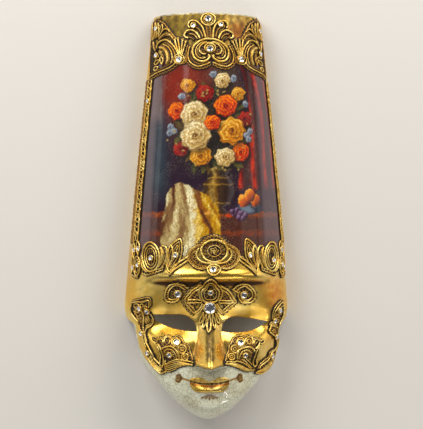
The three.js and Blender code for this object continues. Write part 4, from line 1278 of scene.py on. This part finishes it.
cheekLines = {
    "left": {
        "edge": [(-54.2, -121.4), (-51.5, -122.8), (-49.6, -121.2), (-47.2, -119.9), (-44.4, -121.3),
                 (-42.5, -119.4), (-39.9, -118.3), (-37.0, -119.1), (-34.7, -120.8), (-32.1, -118.7),
                 (-28.8, -119.2), (-26.0, -122.5), (-24.8, -125.0), (-21.3, -126.4), (-19.4, -129.6),
                 (-18.8, -133.5), (-16.6, -137.6), (-15.6, -140.9)],
        "loops": [[(-50.4, -125.2), (-49.8, -122.6), (-47.2, -121.6), (-44.7, -122.8), (-44.1, -124.9)],
                  [(-43.2, -124.6), (-42.9, -121.7), (-40.3, -119.8), (-37.4, -120.6), (-35.9, -122.9)],
                  [(-38.6, -122.0), (-38.0, -123.7), (-39.5, -125.8)]],
        "rings": (((-32.6, -124.2), 3.7), ((-26.5, -130.3), 3.8), ((-23.7, -138.0), 3.2)),
        "arch": [(-44.5, -131.0), (-44.8, -129.5), (-41.6, -128.5), (-38.9, -127.7), (-35.9, -128.4),
                 (-33.1, -130.5), (-30.8, -133.5), (-29.3, -136.7), (-29.0, -139.9)],
        "within": [(-43.3, -133.6), (-42.4, -131.5), (-39.6, -130.3), (-36.2, -131.2), (-33.6, -133.8),
                   (-32.0, -137.0), (-31.6, -139.6)],
        "middle": (-39.2, -136.6),
        "strap": [(-50.2, -127.0), (-48.2, -131.6), (-46.8, -136.3), (-47.1, -141.3), (-47.5, -146.0),
                  (-46.0, -149.5), (-44.2, -145.6), (-44.3, -139.1), (-45.4, -133.3), (-48.7, -126.8)],
        "foot": [(-42.6, -141.6), (-41.5, -145.0), (-37.7, -142.4), (-33.0, -140.6), (-28.8, -140.2),
                 (-24.5, -141.6), (-20.1, -142.0), (-15.1, -143.0)],
        "leafTop": [(-41.8, -146.9), (-39.6, -144.8), (-35.8, -143.4), (-32.0, -142.5), (-28.2, -141.9),
                    (-24.4, -143.1), (-20.7, -144.2), (-15.7, -144.5)],
        "leafLow": [(-41.8, -152.2), (-38.5, -152.4), (-33.7, -150.3), (-29.0, -147.3), (-24.4, -145.9),
                    (-19.6, -145.4), (-15.8, -144.9)],
        "twigs": [[(-42.0, -152.0), (-42.6, -147.0), (-41.8, -141.0)]],
    },
    "right": {
        "edge": [(14.0, -141.7), (16.5, -136.4), (18.6, -132.3), (19.2, -127.5), (21.4, -124.8),
                 (22.8, -121.4), (26.1, -119.0), (30.0, -118.6), (33.6, -119.5), (36.4, -118.8),
                 (39.0, -118.3), (41.9, -119.9), (43.0, -122.0), (44.9, -121.2), (47.9, -121.6),
                 (50.3, -123.0)],
        "loops": [[(43.3, -126.2), (44.0, -123.4), (46.6, -122.4), (49.1, -123.9), (49.0, -126.1),
                   (46.7, -128.9), (44.8, -130.7)],
                  [(34.7, -123.9), (36.2, -120.9), (38.9, -120.1), (41.7, -121.4), (42.5, -124.2),
                   (41.7, -126.7)],
                  [(50.2, -123.9), (52.3, -122.9), (54.4, -124.1), (53.3, -125.8), (50.5, -126.2)]],
        "rings": (((30.4, -124.5), 3.9), ((24.7, -130.4), 3.7), ((21.1, -138.0), 3.1),
                  ((38.4, -124.2), 1.9)),
        "arch": [(26.6, -140.0), (27.2, -135.1), (29.3, -131.3), (32.2, -129.5), (35.5, -128.9),
                 (39.3, -128.8), (42.4, -130.5), (43.9, -133.0)],
        "within": [(28.9, -139.4), (30.0, -135.5), (32.0, -132.9), (35.4, -131.6), (38.7, -132.3),
                   (40.7, -134.5)],
        "middle": (36.2, -137.4),
        "strap": [(49.2, -127.8), (46.7, -131.9), (44.8, -136.6), (42.8, -141.5), (42.7, -145.6),
                  (44.6, -148.4), (46.4, -145.9), (46.3, -139.7), (48.0, -133.9), (49.6, -128.9)],
        "foot": [(15.2, -142.6), (19.3, -142.5), (23.4, -143.1), (25.8, -142.1), (29.3, -142.7),
                 (33.3, -144.3), (37.4, -147.3), (40.5, -150.4)],
        "leafTop": [(14.2, -143.7), (19.2, -144.0), (24.3, -144.6), (29.2, -145.9), (33.2, -147.9),
                    (38.0, -150.4)],
        "leafLow": [(14.3, -144.2), (20.3, -145.8), (25.2, -147.4), (30.1, -149.6), (34.2, -151.6),
                    (39.4, -152.6)],
        "twigs": [[(30.8, -140.2), (34.3, -142.0), (37.3, -145.2), (40.9, -149.2)],
                  [(35.3, -139.6), (38.4, -142.6), (41.5, -146.5)], [(38.0, -151.4), (43.6, -151.8)]],
    },
}


def cheekLace(side):
    name = "right" if side > 0 else "left"
    lace = LaceWork("cheek_lace_" + name, placeOnFace)
    line = cheekLines[name]
    lace.cord(line["edge"], 0.56, 0.2)
    for loop in line["loops"]:
        lace.cord(loop, 0.76, 0.45)
    for spot, radius in line["rings"]:
        lace.ring(spot, radius, radius=0.8 if radius > 2 else 0.5, lift=0.45)
        if radius > 2:
            lace.ring(spot, radius * 0.42, radius=0.5, lift=0.3)
            lace.spokes(spot, radius * 0.42, radius, 5, start=20)
    for first, second in zip(line["rings"], line["rings"][1:3]):  # short ties between the rings
        lace.cord([first[0], second[0]], 0.5, -0.2)
    # The arch with its rays, and the netted ground about it.
    lace.ladder(line["arch"], line["within"], 12, (0.86, 0.55), (0.6, 0.3))
    lace.spokes(line["middle"], 2.6, 5.4, 9, start=-10, sweep=220)
    edge, arch = smoothPath(line["edge"], 1.0), smoothPath(line["arch"], 1.0)
    if (edge[0, 0] < edge[-1, 0]) != (arch[0, 0] < arch[-1, 0]):
        arch = arch[::-1]
    lace.net(np.concatenate([edge[::4], arch[::-4]]), 2.7, (40, -50))
    lace.cord(line["strap"], 0.74, 0.45, closed=True)
    lace.cord(line["foot"], 0.7, 0.35)
    lace.between(line["leafTop"], line["leafLow"], 5)
    for twig in line["twigs"]:
        lace.cord(twig, 0.62, 0.25)
    lace.net([line["within"][0], *line["within"][2:5], line["foot"][5], line["foot"][2]], 3.0, (50, -40))
    return lace


templeLines = {
    "left": {
        "cords": [[(-74.9, -88.6), (-74.7, -86.8), (-71.4, -85.8), (-66.6, -85.0), (-63.4, -85.0),
                   (-61.0, -83.7), (-58.6, -83.6), (-58.0, -86.7), (-58.7, -90.6)],
                  [(-74.9, -88.6), (-75.6, -92.0), (-74.8, -96.8), (-72.0, -101.0), (-68.9, -104.9),
                   (-67.3, -109.8), (-65.9, -113.8), (-64.0, -119.6), (-62.1, -126.0), (-60.5, -130.8),
                   (-59.2, -138.4), (-57.1, -143.4), (-53.8, -148.6), (-50.0, -152.3), (-46.5, -155.0),
                   (-43.9, -154.0), (-41.4, -152.6)],
                  [(-57.1, -96.2), (-55.1, -99.9), (-54.4, -104.1), (-55.6, -107.8), (-57.9, -109.9),
                   (-60.6, -111.9), (-61.6, -115.3), (-61.3, -120.1), (-59.6, -124.4)],
                  [(-66.1, -92.7), (-63.5, -97.3), (-63.3, -102.9), (-63.6, -108.1), (-63.1, -114.3),
                   (-62.0, -120.1), (-60.4, -125.4), (-57.7, -130.5), (-56.1, -133.5), (-53.8, -137.5),
                   (-52.3, -140.9), (-49.1, -143.9), (-45.8, -147.4)]],
        "fine": [[(-72.8, -84.2), (-68.5, -83.0), (-64.7, -81.7), (-61.0, -80.7), (-57.6, -81.0),
                  (-56.5, -84.7), (-56.8, -88.5)],
                 [(-72.8, -94.3), (-69.9, -98.9), (-67.8, -103.4)],
                 [(-58.2, -133.5), (-56.3, -137.7), (-54.6, -142.3), (-51.0, -146.4), (-47.1, -150.2),
                  (-44.3, -152.0)]],
        "rings": (((-70.0, -89.6), 2.4), ((-65.0, -88.6), 1.5), ((-61.4, -90.2), 1.4),
                  ((-69.6, -94.2), 1.6)),
        "leaf": ([(-62.2, -103.4), (-61.2, -99.5), (-58.8, -98.6)],
                 [(-61.5, -106.6), (-58.8, -104.4), (-57.6, -101.3)]),
        "net": [(-73.4, -90), (-60, -86), (-59.6, -92), (-63.4, -98), (-64, -108), (-67.4, -107),
                (-72.4, -99)],
        "ladder": (1, 3),
        "strip": ([(-55.6, -138.2), (-53.4, -143.6), (-50.2, -147.6), (-46.4, -150.8)],
                  [(-57.8, -139.2), (-56.4, -143.8), (-53.2, -148.6), (-49.6, -152.2), (-46.2, -154.4)]),
    },
    "right": {
        "cords": [[(74.8, -86.1), (72.0, -87.5), (68.8, -90.8), (66.1, -94.3), (65.1, -98.9),
                   (64.4, -102.8)],
                  [(75.6, -92.4), (75.1, -98.4), (73.2, -104.3), (70.9, -109.3), (69.2, -116.2),
                   (69.6, -121.3), (70.0, -126.6), (68.4, -132.6), (66.4, -138.6), (64.6, -145.0),
                   (61.2, -151.5), (55.4, -154.6), (50.3, -156.0), (45.5, -154.8)],
                  [(68.7, -111.5), (65.4, -110.8), (62.4, -108.6), (61.2, -111.8), (60.2, -115.2),
                   (62.6, -117.7), (65.8, -119.9), (68.1, -124.2), (68.3, -129.0), (67.3, -132.3),
                   (62.7, -136.1), (61.1, -138.5), (59.0, -142.5), (54.7, -145.4), (51.3, -147.6),
                   (49.2, -150.7)]],
        "fine": [[(72.0, -84.7), (67.9, -88.3), (64.8, -92.3), (63.6, -97.1), (63.2, -102.3)],
                 [(75.0, -89.5), (72.0, -91.7), (69.5, -95.3), (69.4, -99.8)],
                 [(64.8, -113.3), (66.5, -114.9), (64.8, -116.4), (63.1, -114.8), (64.8, -113.3)],
                 [(64.2, -133.5), (60.4, -136.0), (58.7, -140.2), (54.0, -143.2), (49.8, -146.7),
                  (47.4, -151.1)]],
        "rings": (((70.6, -94.0), 2.0), ((68.4, -99.6), 1.7), ((68.6, -104.6), 1.5)),
        "leaf": ([(65.6, -106.0), (62.4, -105.6), (60.6, -108.4)],
                 [(68.4, -109.4), (65.0, -109.6), (62.0, -110.0)]),
        "net": [(73.6, -89), (74, -98), (70.6, -108), (65.6, -106), (66, -98), (68, -92.6)],
        "ladder": (1, 2),
        "strip": ([(62.6, -140.8), (60.6, -145.5), (56.2, -149.4), (52.0, -152.0), (47.8, -153.2)],
                  [(65.0, -143.9), (62.7, -148.4), (59.4, -151.6), (54.6, -153.6), (50.3, -154.8),
                   (46.5, -154.4)]),
    },
}


def templeLace(side):
    name = "right" if side > 0 else "left"
    lace = LaceWork("temple_lace_" + name, placeOnFace)
    line = templeLines[name]
    for path in line["cords"]:
        lace.cord(path, 0.8, 0.5)
    for path in line["fine"]:
        lace.cord(path, 0.56, 0.2)
    for spot, radius in line["rings"]:
        lace.ring(spot, radius, radius=0.55, lift=0.35)
    lace.net(line["net"], 3.0)
    lace.between(*line["leaf"], 4)
    lace.between(*line["strip"], 4, swell=0.4)
    outer, inner = (smoothPath(line["cords"][k], 0.6) for k in line["ladder"])
    near = [int(np.linalg.norm(outer - point, axis=1).argmin()) for point in inner]
    for k in range(2, len(inner) - 1, 4):  # a ladder of fine threads across the strip
        if np.linalg.norm(outer[near[k]] - inner[k]) < 11:
            lace.cord([outer[near[k]], inner[k]], thread["fine"], -0.1)
    return lace


def readStones():
    # Place, lean and size of each crystal, from its CAD solid's flat back.
    stones = {}
    for node in sorted(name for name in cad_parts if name.startswith("crystal_")):
        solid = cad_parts[node].data
        backs = {}
        for polygon in solid.polygons:
            backs.setdefault(tuple(round(c, 2) for c in polygon.normal), []).append(polygon)
        back = max(backs.values(), key=lambda group: sum(p.area for p in group))
        axis = -back[0].normal
        corners = {tuple(round(c, 7) for c in solid.vertices[i].co) for p in back for i in p.vertices}
        centre = sum((Vector(c) for c in corners), Vector()) / len(corners)
        stones[node] = {"axis": axis, "centre": centre,
                        "radius": max((Vector(c) - centre).length for c in corners),
                        "height": max((v.co - centre).dot(axis) for v in solid.vertices)}
    return stones


def makeLaces(stones):
    material = laceFinish()
    laces = [(topLace(), "topLace", "crystal_top"), (crownLace(), "crownLace", "crystal_crown"),
             (browLace(), "browLace", "crystal_brow"),
             (sideBraid("side_braid_left", -61.8, -76, 0.45), "sideBraidLeft", "crystal_braid_left"),
             (sideBraid("side_braid_right", 71.4, 81, 0.0), "sideBraidRight", "crystal_braid_right")]
    for side, word in ((-1, "left"), (1, "right")):
        laces += [(cheekLace(side), "cheekLace" + word.title(), "crystal_cheek_" + word),
                  (templeLace(side), "templeLace" + word.title(), "crystal_temple_" + word)]
    points = np.concatenate([lace.make(name, material,
                                       [stone for node, stone in stones.items() if node.startswith(prefix)])
                             for lace, name, prefix in laces])
    tree = KDTree(len(points))
    for i, point in enumerate(points):
        tree.insert(point, i)
    tree.balance()
    return tree


# The picture: a made-up still life, painted by code over a fine sheet.
picture = {"leftAngle": -60.0, "rightAngle": 69.5, "top": 157.0, "bottom": -39.0, "meanRadius": 65,
           "step": 0.62, "lift": 0.62, "turnedDown": 0.6}


class Painting:
    # Colours laid one over another at the points of the sheet, with brushed edges.
    def __init__(self, x, y, ground):
        self.x = x + 0.9 * drift(x, y, 9, 3) + 0.35 * drift(x, y, 2.6, 5)
        self.y = y + 0.9 * drift(x, y, 10, 4) + 0.35 * drift(x, y, 2.8, 6)
        self.colour = np.tile(np.array(ground), (len(x), 1))

    def lay(self, tone, cover):
        cover = np.clip(cover, 0, 1)[:, None]
        self.colour = self.colour * (1 - cover) + np.array(tone) * cover

    def around(self, centre, turn=0.0):
        a = math.radians(turn)
        dx, dy = self.x - centre[0], self.y - centre[1]
        return dx * math.cos(a) + dy * math.sin(a), dy * math.cos(a) - dx * math.sin(a)

    def spot(self, centre, rx, ry, turn=0.0, soft=0.25):
        dx, dy = self.around(centre, turn)
        return 1 - smooth((np.hypot(dx / rx, dy / ry) - 1 + soft / 2) / soft)

    def bloom(self, centre, radius, light, middle, shade, petals=7, turn=0.0):
        # A rose in quick strokes: cupped petals wound round the heart, lit from the upper left.
        dx, dy = self.around(centre, turn)
        angle = np.arctan2(dy, dx)
        ripple = 0.05 * np.cos(angle * petals + turn) + 0.05 * drift(dx, dy, radius * 0.9, petals + 9)
        reach = np.hypot(dx, dy * 1.08) / radius * (1 + ripple)
        cover = 1 - smooth((reach - 0.93) / 0.16)
        lit = 0.5 + 0.5 * np.cos(angle + math.radians(turn) - 2.2) * np.clip(reach * 1.3, 0, 1)
        wound = reach * 3.1 - angle / (2 * math.pi) + 0.3 * np.cos(angle * 3 + turn) * reach
        wound += 0.22 * drift(dx, dy, radius, petals)
        lip = wound - np.floor(wound)  # 0 in the hollow of a petal, 1 at its lip
        value = 0.18 + 0.5 * lip ** 1.2 + 0.42 * lit - 0.5 * np.exp(-(reach / 0.24) ** 2)
        value += 0.16 * drift(dx * 1.5, dy, radius * 0.45, petals + 3)
        self.lay(shade, cover)
        self.lay(middle, cover * smooth((value - 0.1) / 0.42))
        self.lay(light, cover * smooth((value - 0.52) / 0.42))

    def leaf(self, centre, length, width, turn, tone, vein):
        dx, dy = self.around(centre, turn)
        half = width / 2 * np.sin(np.pi * np.clip(dx / length + 0.5, 0, 1)) ** 0.8
        self.lay(tone, (1 - smooth((np.abs(dy) - half + 0.5) / 0.8)) * (np.abs(dx) < length / 2))
        self.lay(vein, (1 - smooth(np.abs(dy) / 0.7)) * (np.abs(dx) < length * 0.42) * 0.7)

    def ball(self, centre, radius, light, middle, shade):
        dx, dy = self.around(centre)
        cover = 1 - smooth((np.hypot(dx, dy) - radius + 0.4) / 0.8)
        lit = np.clip(0.5 + (dy - dx) / radius / 2.4, 0, 1)
        self.lay(shade, cover)
        self.lay(middle, cover * smooth(lit / 0.6))
        self.lay(light, cover * smooth((lit - 0.55) / 0.35) * 0.9)


def paintPicture(x, y):
    art = Painting(x, y, (0.016, 0.006, 0.016))
    ax, ay = art.x, art.y
    # Wall: plum and brown, warmer where the light falls, with a blue-grey recess at the left.
    art.lay((0.075, 0.026, 0.02), bump(ax, ay, -14, 128, 36, 42) * (0.85 + 0.3 * drift(x, y, 17, 61)))
    art.lay((0.22, 0.026, 0.014), bump(ax, ay, -28, 128, 26, 32) * 0.85)
    art.lay((0.06, 0.05, 0.028), bump(ax, ay, 14, 142, 12, 24) * 0.7)
    art.lay((0.03, 0.045, 0.06), share(ax, -36, -50) * share(ay, 10, 34) * (1 - share(ay, 92, 116)) * 0.9)
    # Curtain, drawn aside at the right.
    hem = 30 + 12 * np.sin((ay - 60) / 34) - 0.10 * (ay - 90)
    fold = 0.5 + 0.5 * np.sin((ax + ay * 0.16) / 2.7 + 1.2 * np.sin(ay / 21))
    cloth = smooth((ax - hem) / 2.5) * smooth((ay - 24) / 8)
    art.lay((0.03, 0.006, 0.008), cloth)
    art.lay((0.17, 0.014, 0.01), cloth * fold ** 1.8)
    art.lay((0.62, 0.07, 0.03), cloth * smooth((fold - 0.72) / 0.28) * (0.55 + 0.5 * drift(x, y, 23, 62)))
    # A column at the left edge, and the ledge of red stone.
    art.lay((0.16, 0.13, 0.13), smooth((-47 - ax) / 3) * smooth((ay - 88) / 14) * 0.8)
    ledge = 1 - smooth((ay - 3 - 1.2 * drift(x, y, 30, 63)) / 2)
    art.lay((0.055, 0.017, 0.012), ledge)
    art.lay((0.3, 0.075, 0.025), ledge * smooth((ay + 3) / 4) * (0.55 + 0.4 * drift(x, y * 3, 12, 64)))
    art.lay((0.24, 0.05, 0.02), (1 - smooth(np.abs(ay + 17) / 5)) * (0.4 + 0.5 * drift(x, y * 2, 14, 65)))
    # Urn of dark bronze.
    body = 15.5 * np.sqrt(np.clip(1 - ((ay - 25) / 17) ** 2, 0, 1)) * (ay > 8)
    body = np.maximum(body, np.where((ay > 38) & (ay < 47), 8.5 + (ay - 38) ** 2 * 0.06, 0))
    body = np.maximum(body, np.where((ay > 2) & (ay <= 10), 5 + (10 - ay) ** 2 * 0.09, 0))
    px = (ax - 9) / np.maximum(body, 0.1)
    vase = (1 - smooth((np.abs(ax - 9) - body + 0.5) / 1.4)) * (body > 0)
    art.lay((0.025, 0.012, 0.008), vase)
    art.lay((0.2, 0.095, 0.022),
            vase * np.exp(-((px + 0.38) / 0.34) ** 2) * (0.8 + 0.3 * drift(x, y, 6, 66)))
    art.lay((0.66, 0.46, 0.16),
            vase * np.exp(-((px + 0.44) / 0.13) ** 2) * (0.55 + 0.5 * drift(x, y, 9, 67)))
    art.lay((0.09, 0.075, 0.09), vase * np.exp(-((px - 0.8) / 0.14) ** 2) * 0.7)
    for band in (12.5, 31.0, 37.5, 45.5):
        lit = np.exp(-((px + 0.4) / 0.4) ** 2)
        art.lay((0.5, 0.3, 0.08), vase * (1 - smooth(np.abs(ay - band) / 1.1)) * (0.25 + 0.65 * lit))
    ribs = 0.5 + 0.5 * np.cos(np.arcsin(np.clip(px, -1, 1)) * 14)
    art.lay((0.014, 0.007, 0.005), vase * (ay > 13) * (ay < 30) * ribs ** 3 * 0.6)
    # Brocade thrown over the ledge: cream at the left, gold ochre at the right, deep brown between its folds.
    sheetTop = 31 - ((ax + 22) / 30) ** 2 * 19 + 3 * np.sin(ax / 6.5)
    leftHem = -51 + 0.1 * (ay + 39) + 2 * np.sin(ay / 9)
    rightHem = 22 - 0.36 * (ay + 39) + 3 * np.sin(ay / 8 + 1)
    sheet = smooth((ax - leftHem) / 2) * smooth((rightHem - ax) / 2) * smooth((sheetTop - ay) / 2)
    fan = (ax + 21) / (1 + np.clip(31 - ay, 0, 77) * 0.018)
    bend = fan + 2.2 * np.sin(ay / 15 + ax / 17) + 1.6 * drift(x, y * 0.6, 22, 68)
    fold = 0.5 + 0.3 * np.sin(bend / 1.9) + 0.28 * np.sin(bend / 3.7 + 1.2)
    fold += 0.12 * np.sin(bend / 0.8 + ay / 9)
    lit = fold * (0.95 + 0.3 * drift(x * 1.6, y * 0.5, 8, 69)) + 0.12
    warm = smooth((ax + 17 + 3 * drift(x, y, 14, 70)) / 9)
    art.lay((0.07, 0.022, 0.01), sheet)
    for tones, side in ((((0.2, 0.11, 0.05), (0.5, 0.4, 0.2), (0.78, 0.72, 0.48)), 1 - warm),
                        (((0.22, 0.075, 0.015), (0.5, 0.29, 0.06), (0.74, 0.56, 0.19)), warm)):
        for tone, start, reach in zip(tones, (0.12, 0.3, 0.58), (0.2, 0.3, 0.34)):
            art.lay(tone, sheet * side * smooth((lit - start) / reach))
    sprig = smooth((drift(x, y, 5.5, 12) - 0.4) / 0.3) * smooth((drift(x, y, 16, 71) + 0.3) / 0.5)
    art.lay((0.2, 0.07, 0.02), sheet * sprig * 0.55)
    # Fruit in a blue-grey bowl at the right.
    art.lay((0.02, 0.026, 0.045), art.spot((42, 9), 15, 7.5, soft=0.25) * (ay < 11))
    art.lay((0.15, 0.2, 0.26), art.spot((37, 7), 8, 3, -18, 0.9) * 0.8)
    for place, size in (((34, 15), 6.4), ((48, 15.5), 6.2), ((41, 20.5), 6.4)):
        art.ball(place, size, (0.86, 0.42, 0.12), (0.5, 0.11, 0.02), (0.07, 0.012, 0.008))
    for place in ((27, 5), (31, 2.6), (24.4, 1.4), (28.6, -1.6), (33.6, -2.4), (22, 4.6), (36, 1)):
        art.ball(place, 2.9, (0.26, 0.18, 0.3), (0.05, 0.016, 0.05), (0.01, 0.004, 0.012))
    # Leaves behind the flowers, then the flowers.
    art.lay((0.012, 0.012, 0.008), art.spot((4, 84), 36, 42, 0, 0.6) * (0.85 + 0.3 * drift(x, y, 8, 15)))
    random = np.random.default_rng(21)
    for k in range(36):
        a = 2 * math.pi * k / 36 + random.uniform(-0.1, 0.1)
        r = random.uniform(0.62, 1.12)
        centre = (4 + 35 * r * math.cos(a), 84 + 38 * r * math.sin(a))
        tone = ((0.03, 0.035, 0.014), (0.075, 0.07, 0.024), (0.06, 0.035, 0.012))[k % 3]
        art.leaf(centre, random.uniform(12, 19), random.uniform(4.5, 7.5),
                 math.degrees(a) + random.uniform(-35, 35), tone, (0.14, 0.11, 0.045))
    cream = ((0.86, 0.76, 0.5), (0.5, 0.34, 0.14), (0.09, 0.03, 0.014))
    amber = ((0.84, 0.52, 0.16), (0.5, 0.2, 0.035), (0.09, 0.022, 0.008))
    flame = ((0.86, 0.27, 0.07), (0.5, 0.06, 0.014), (0.07, 0.008, 0.007))
    wine = ((0.4, 0.05, 0.04), (0.16, 0.012, 0.014), (0.03, 0.004, 0.007))
    mist = ((0.4, 0.44, 0.48), (0.14, 0.17, 0.22), (0.03, 0.04, 0.06))
    flowers = [((-27, 66), 7.5, wine, 6), ((36, 96), 8, wine, 6), ((-4, 121), 8.5, wine, 7),
               ((29, 121), 7, amber, 6), ((-31, 104), 9, flame, 6), ((31, 63), 9.5, flame, 7),
               ((13, 134), 7.5, cream, 6), ((-20, 129), 7, amber, 6), ((16, 109), 11, flame, 7),
               ((-14, 100), 13, cream, 7), ((-8, 59), 10, amber, 7), ((15, 58), 9.5, cream, 7),
               ((22, 84), 13.5, amber, 8), ((-13, 79), 14.5, cream, 8), ((3, 92), 7.5, flame, 6)]
    for centre, size, tones, petals in flowers:
        art.lay((0.008, 0.005, 0.005),
                art.spot((centre[0] + 1.6, centre[1] - 2), size * 1.12, size * 1.1, 0, 0.5) * 0.85)
        art.bloom(centre, size, *tones, petals, turn=random.uniform(0, 60))
    for centre in ((-38, 88), (-34, 84), (-39, 82), (38, 80), (42, 84), (40, 76), (4, 140), (24, 136),
                   (-26, 118), (37, 111)):
        art.bloom(centre, 3.4, *mist, 5)
    for k in range(26):  # light sprays
        a, r = random.uniform(0, 2 * math.pi), random.uniform(34, 46)
        place = (4 + r * math.cos(a), 84 + r * math.sin(a))
        if place[1] > 40:
            art.lay((0.4, 0.3, 0.12), art.spot(place, 1.3, 0.9, 40 * k, 0.8) * 0.8)
    art.lay((0.7, 0.36, 0.12), art.spot((-2, 3), 3.4, 1.6, 20, 0.6))
    art.lay((0.5, 0.07, 0.03), art.spot((18, 0), 3, 1.3, -15, 0.6))
    # Old varnish: drag of the brush and foxing; the paler grey-mauve edges are a painted reflection of the
    # varnish's sheen.
    drag = drift(x * 2.2, y * 0.45, 3.2, 31) * 0.16 + drift(x, y, 3.4, 33) * 0.2
    drag += drift(x, y, 21, 34) * 0.14
    art.colour *= 1 + drag[:, None]
    grey = art.colour.mean(axis=1, keepdims=True)
    art.colour = np.clip(grey + (art.colour - grey) * 1.25, 0.002, 1)
    # Painted sheen, a reflection, along the left and right edges.
    edge = smooth((np.abs(x + 2) - 47 - (157 - y) * 0.055) / 8)
    art.lay((0.2, 0.15, 0.17), edge * 0.5)
    return art.colour


def makePicture():
    width = math.radians(picture["rightAngle"] - picture["leftAngle"]) * picture["meanRadius"]
    columns = round(width / picture["step"])
    rows = round((picture["top"] - picture["bottom"]) / picture["step"])
    bm = bmesh.new()
    bmesh.ops.create_grid(bm, x_segments=columns, y_segments=rows, size=0.5)
    flat = np.array([v.co[:2] for v in bm.verts]) + 0.5
    row = mix(picture["bottom"], picture["top"], flat[:, 1])
    angle = np.radians(mix(picture["leftAngle"], picture["rightAngle"], flat[:, 0]))
    across = angle / reachAt(row)
    normal = surfaceNormal(across, row)
    sheet = surfacePoint(across, row)
    spot = numbered(bm)
    made = bmesh.ops.extrude_edge_only(bm, edges=[e for e in bm.edges if e.is_boundary])
    turned = {g for g in made["geom"] if isinstance(g, bmesh.types.BMVert)}
    for v in bm.verts:
        lift = picture["lift"] - (picture["turnedDown"] if v in turned else 0)
        v.co = Vector(inFrame(sheet[v[spot]] + normal[v[spot]] * lift))
    bmesh.ops.recalc_face_normals(bm, faces=bm.faces[:])
    for f in bm.faces:
        f.smooth = True
    spots = np.array([v[spot] for v in bm.verts])
    mesh = meshFrom(bm, "picturePanel")
    paint = paintPicture(angle * (halfWidthAt(row) + depthAt(row)) / 2, row)[spots]
    setAttribute(mesh, "paint", np.c_[np.clip(paint, 0, 1), np.ones(len(paint))], "FLOAT_COLOR")
    piece = addObject("picturePanel", mesh, pictureFinish())
    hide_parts("picture_panel")
    print("picture", len(mesh.polygons), "faces")


# Crystals: cut stones over silver foil.
cut = {"sides": 12, "levels": ((1.0, 0.0, 0), (1.0, 0.14, 0), (0.88, 0.52, 0.5), (0.66, 0.83, 0),
                               (0.4, 1.0, 0.5))}  # each ring's size, height and turn in sides


def makeCrystals(stones):
    glass, foil = crystalFinish(), foilFinish()
    for node, stone in stones.items():
        bm = bmesh.new()
        for size, level, twist in cut["levels"]:
            ring = bmesh.ops.create_circle(bm, segments=cut["sides"],
                                           radius=size * stone["radius"])["verts"]
            turn = Matrix.Rotation(twist * 2 * math.pi / cut["sides"], 4, "Z")
            bmesh.ops.transform(bm, matrix=Matrix.Translation((0, 0, level * stone["height"])) @ turn,
                                verts=ring)
        bmesh.ops.convex_hull(bm, input=bm.verts[:])
        bmesh.ops.dissolve_limit(bm, angle_limit=0.01, verts=bm.verts[:], edges=bm.edges[:])
        bmesh.ops.recalc_face_normals(bm, faces=bm.faces[:])
        for f in bm.faces:
            f.material_index = 1 if f.normal.z < -0.9 else 0
        lean = stone["axis"].to_track_quat("Z", "Y").to_matrix().to_4x4()
        bmesh.ops.transform(bm, matrix=Matrix.Translation(stone["centre"]) @ lean, verts=bm.verts[:])
        name = "crystal" + "".join(word.capitalize() for word in node.split("_")[1:])
        piece = addObject(name, meshFrom(bm, name), glass, foil)
        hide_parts(node)
    print("crystals", len(stones))


makeCamera()
makeLights()
makeFloor()
stones = readStones()
laceTree = makeLaces(stones)
makeShell(laceTree)
makePicture()
makeCrystals(stones)
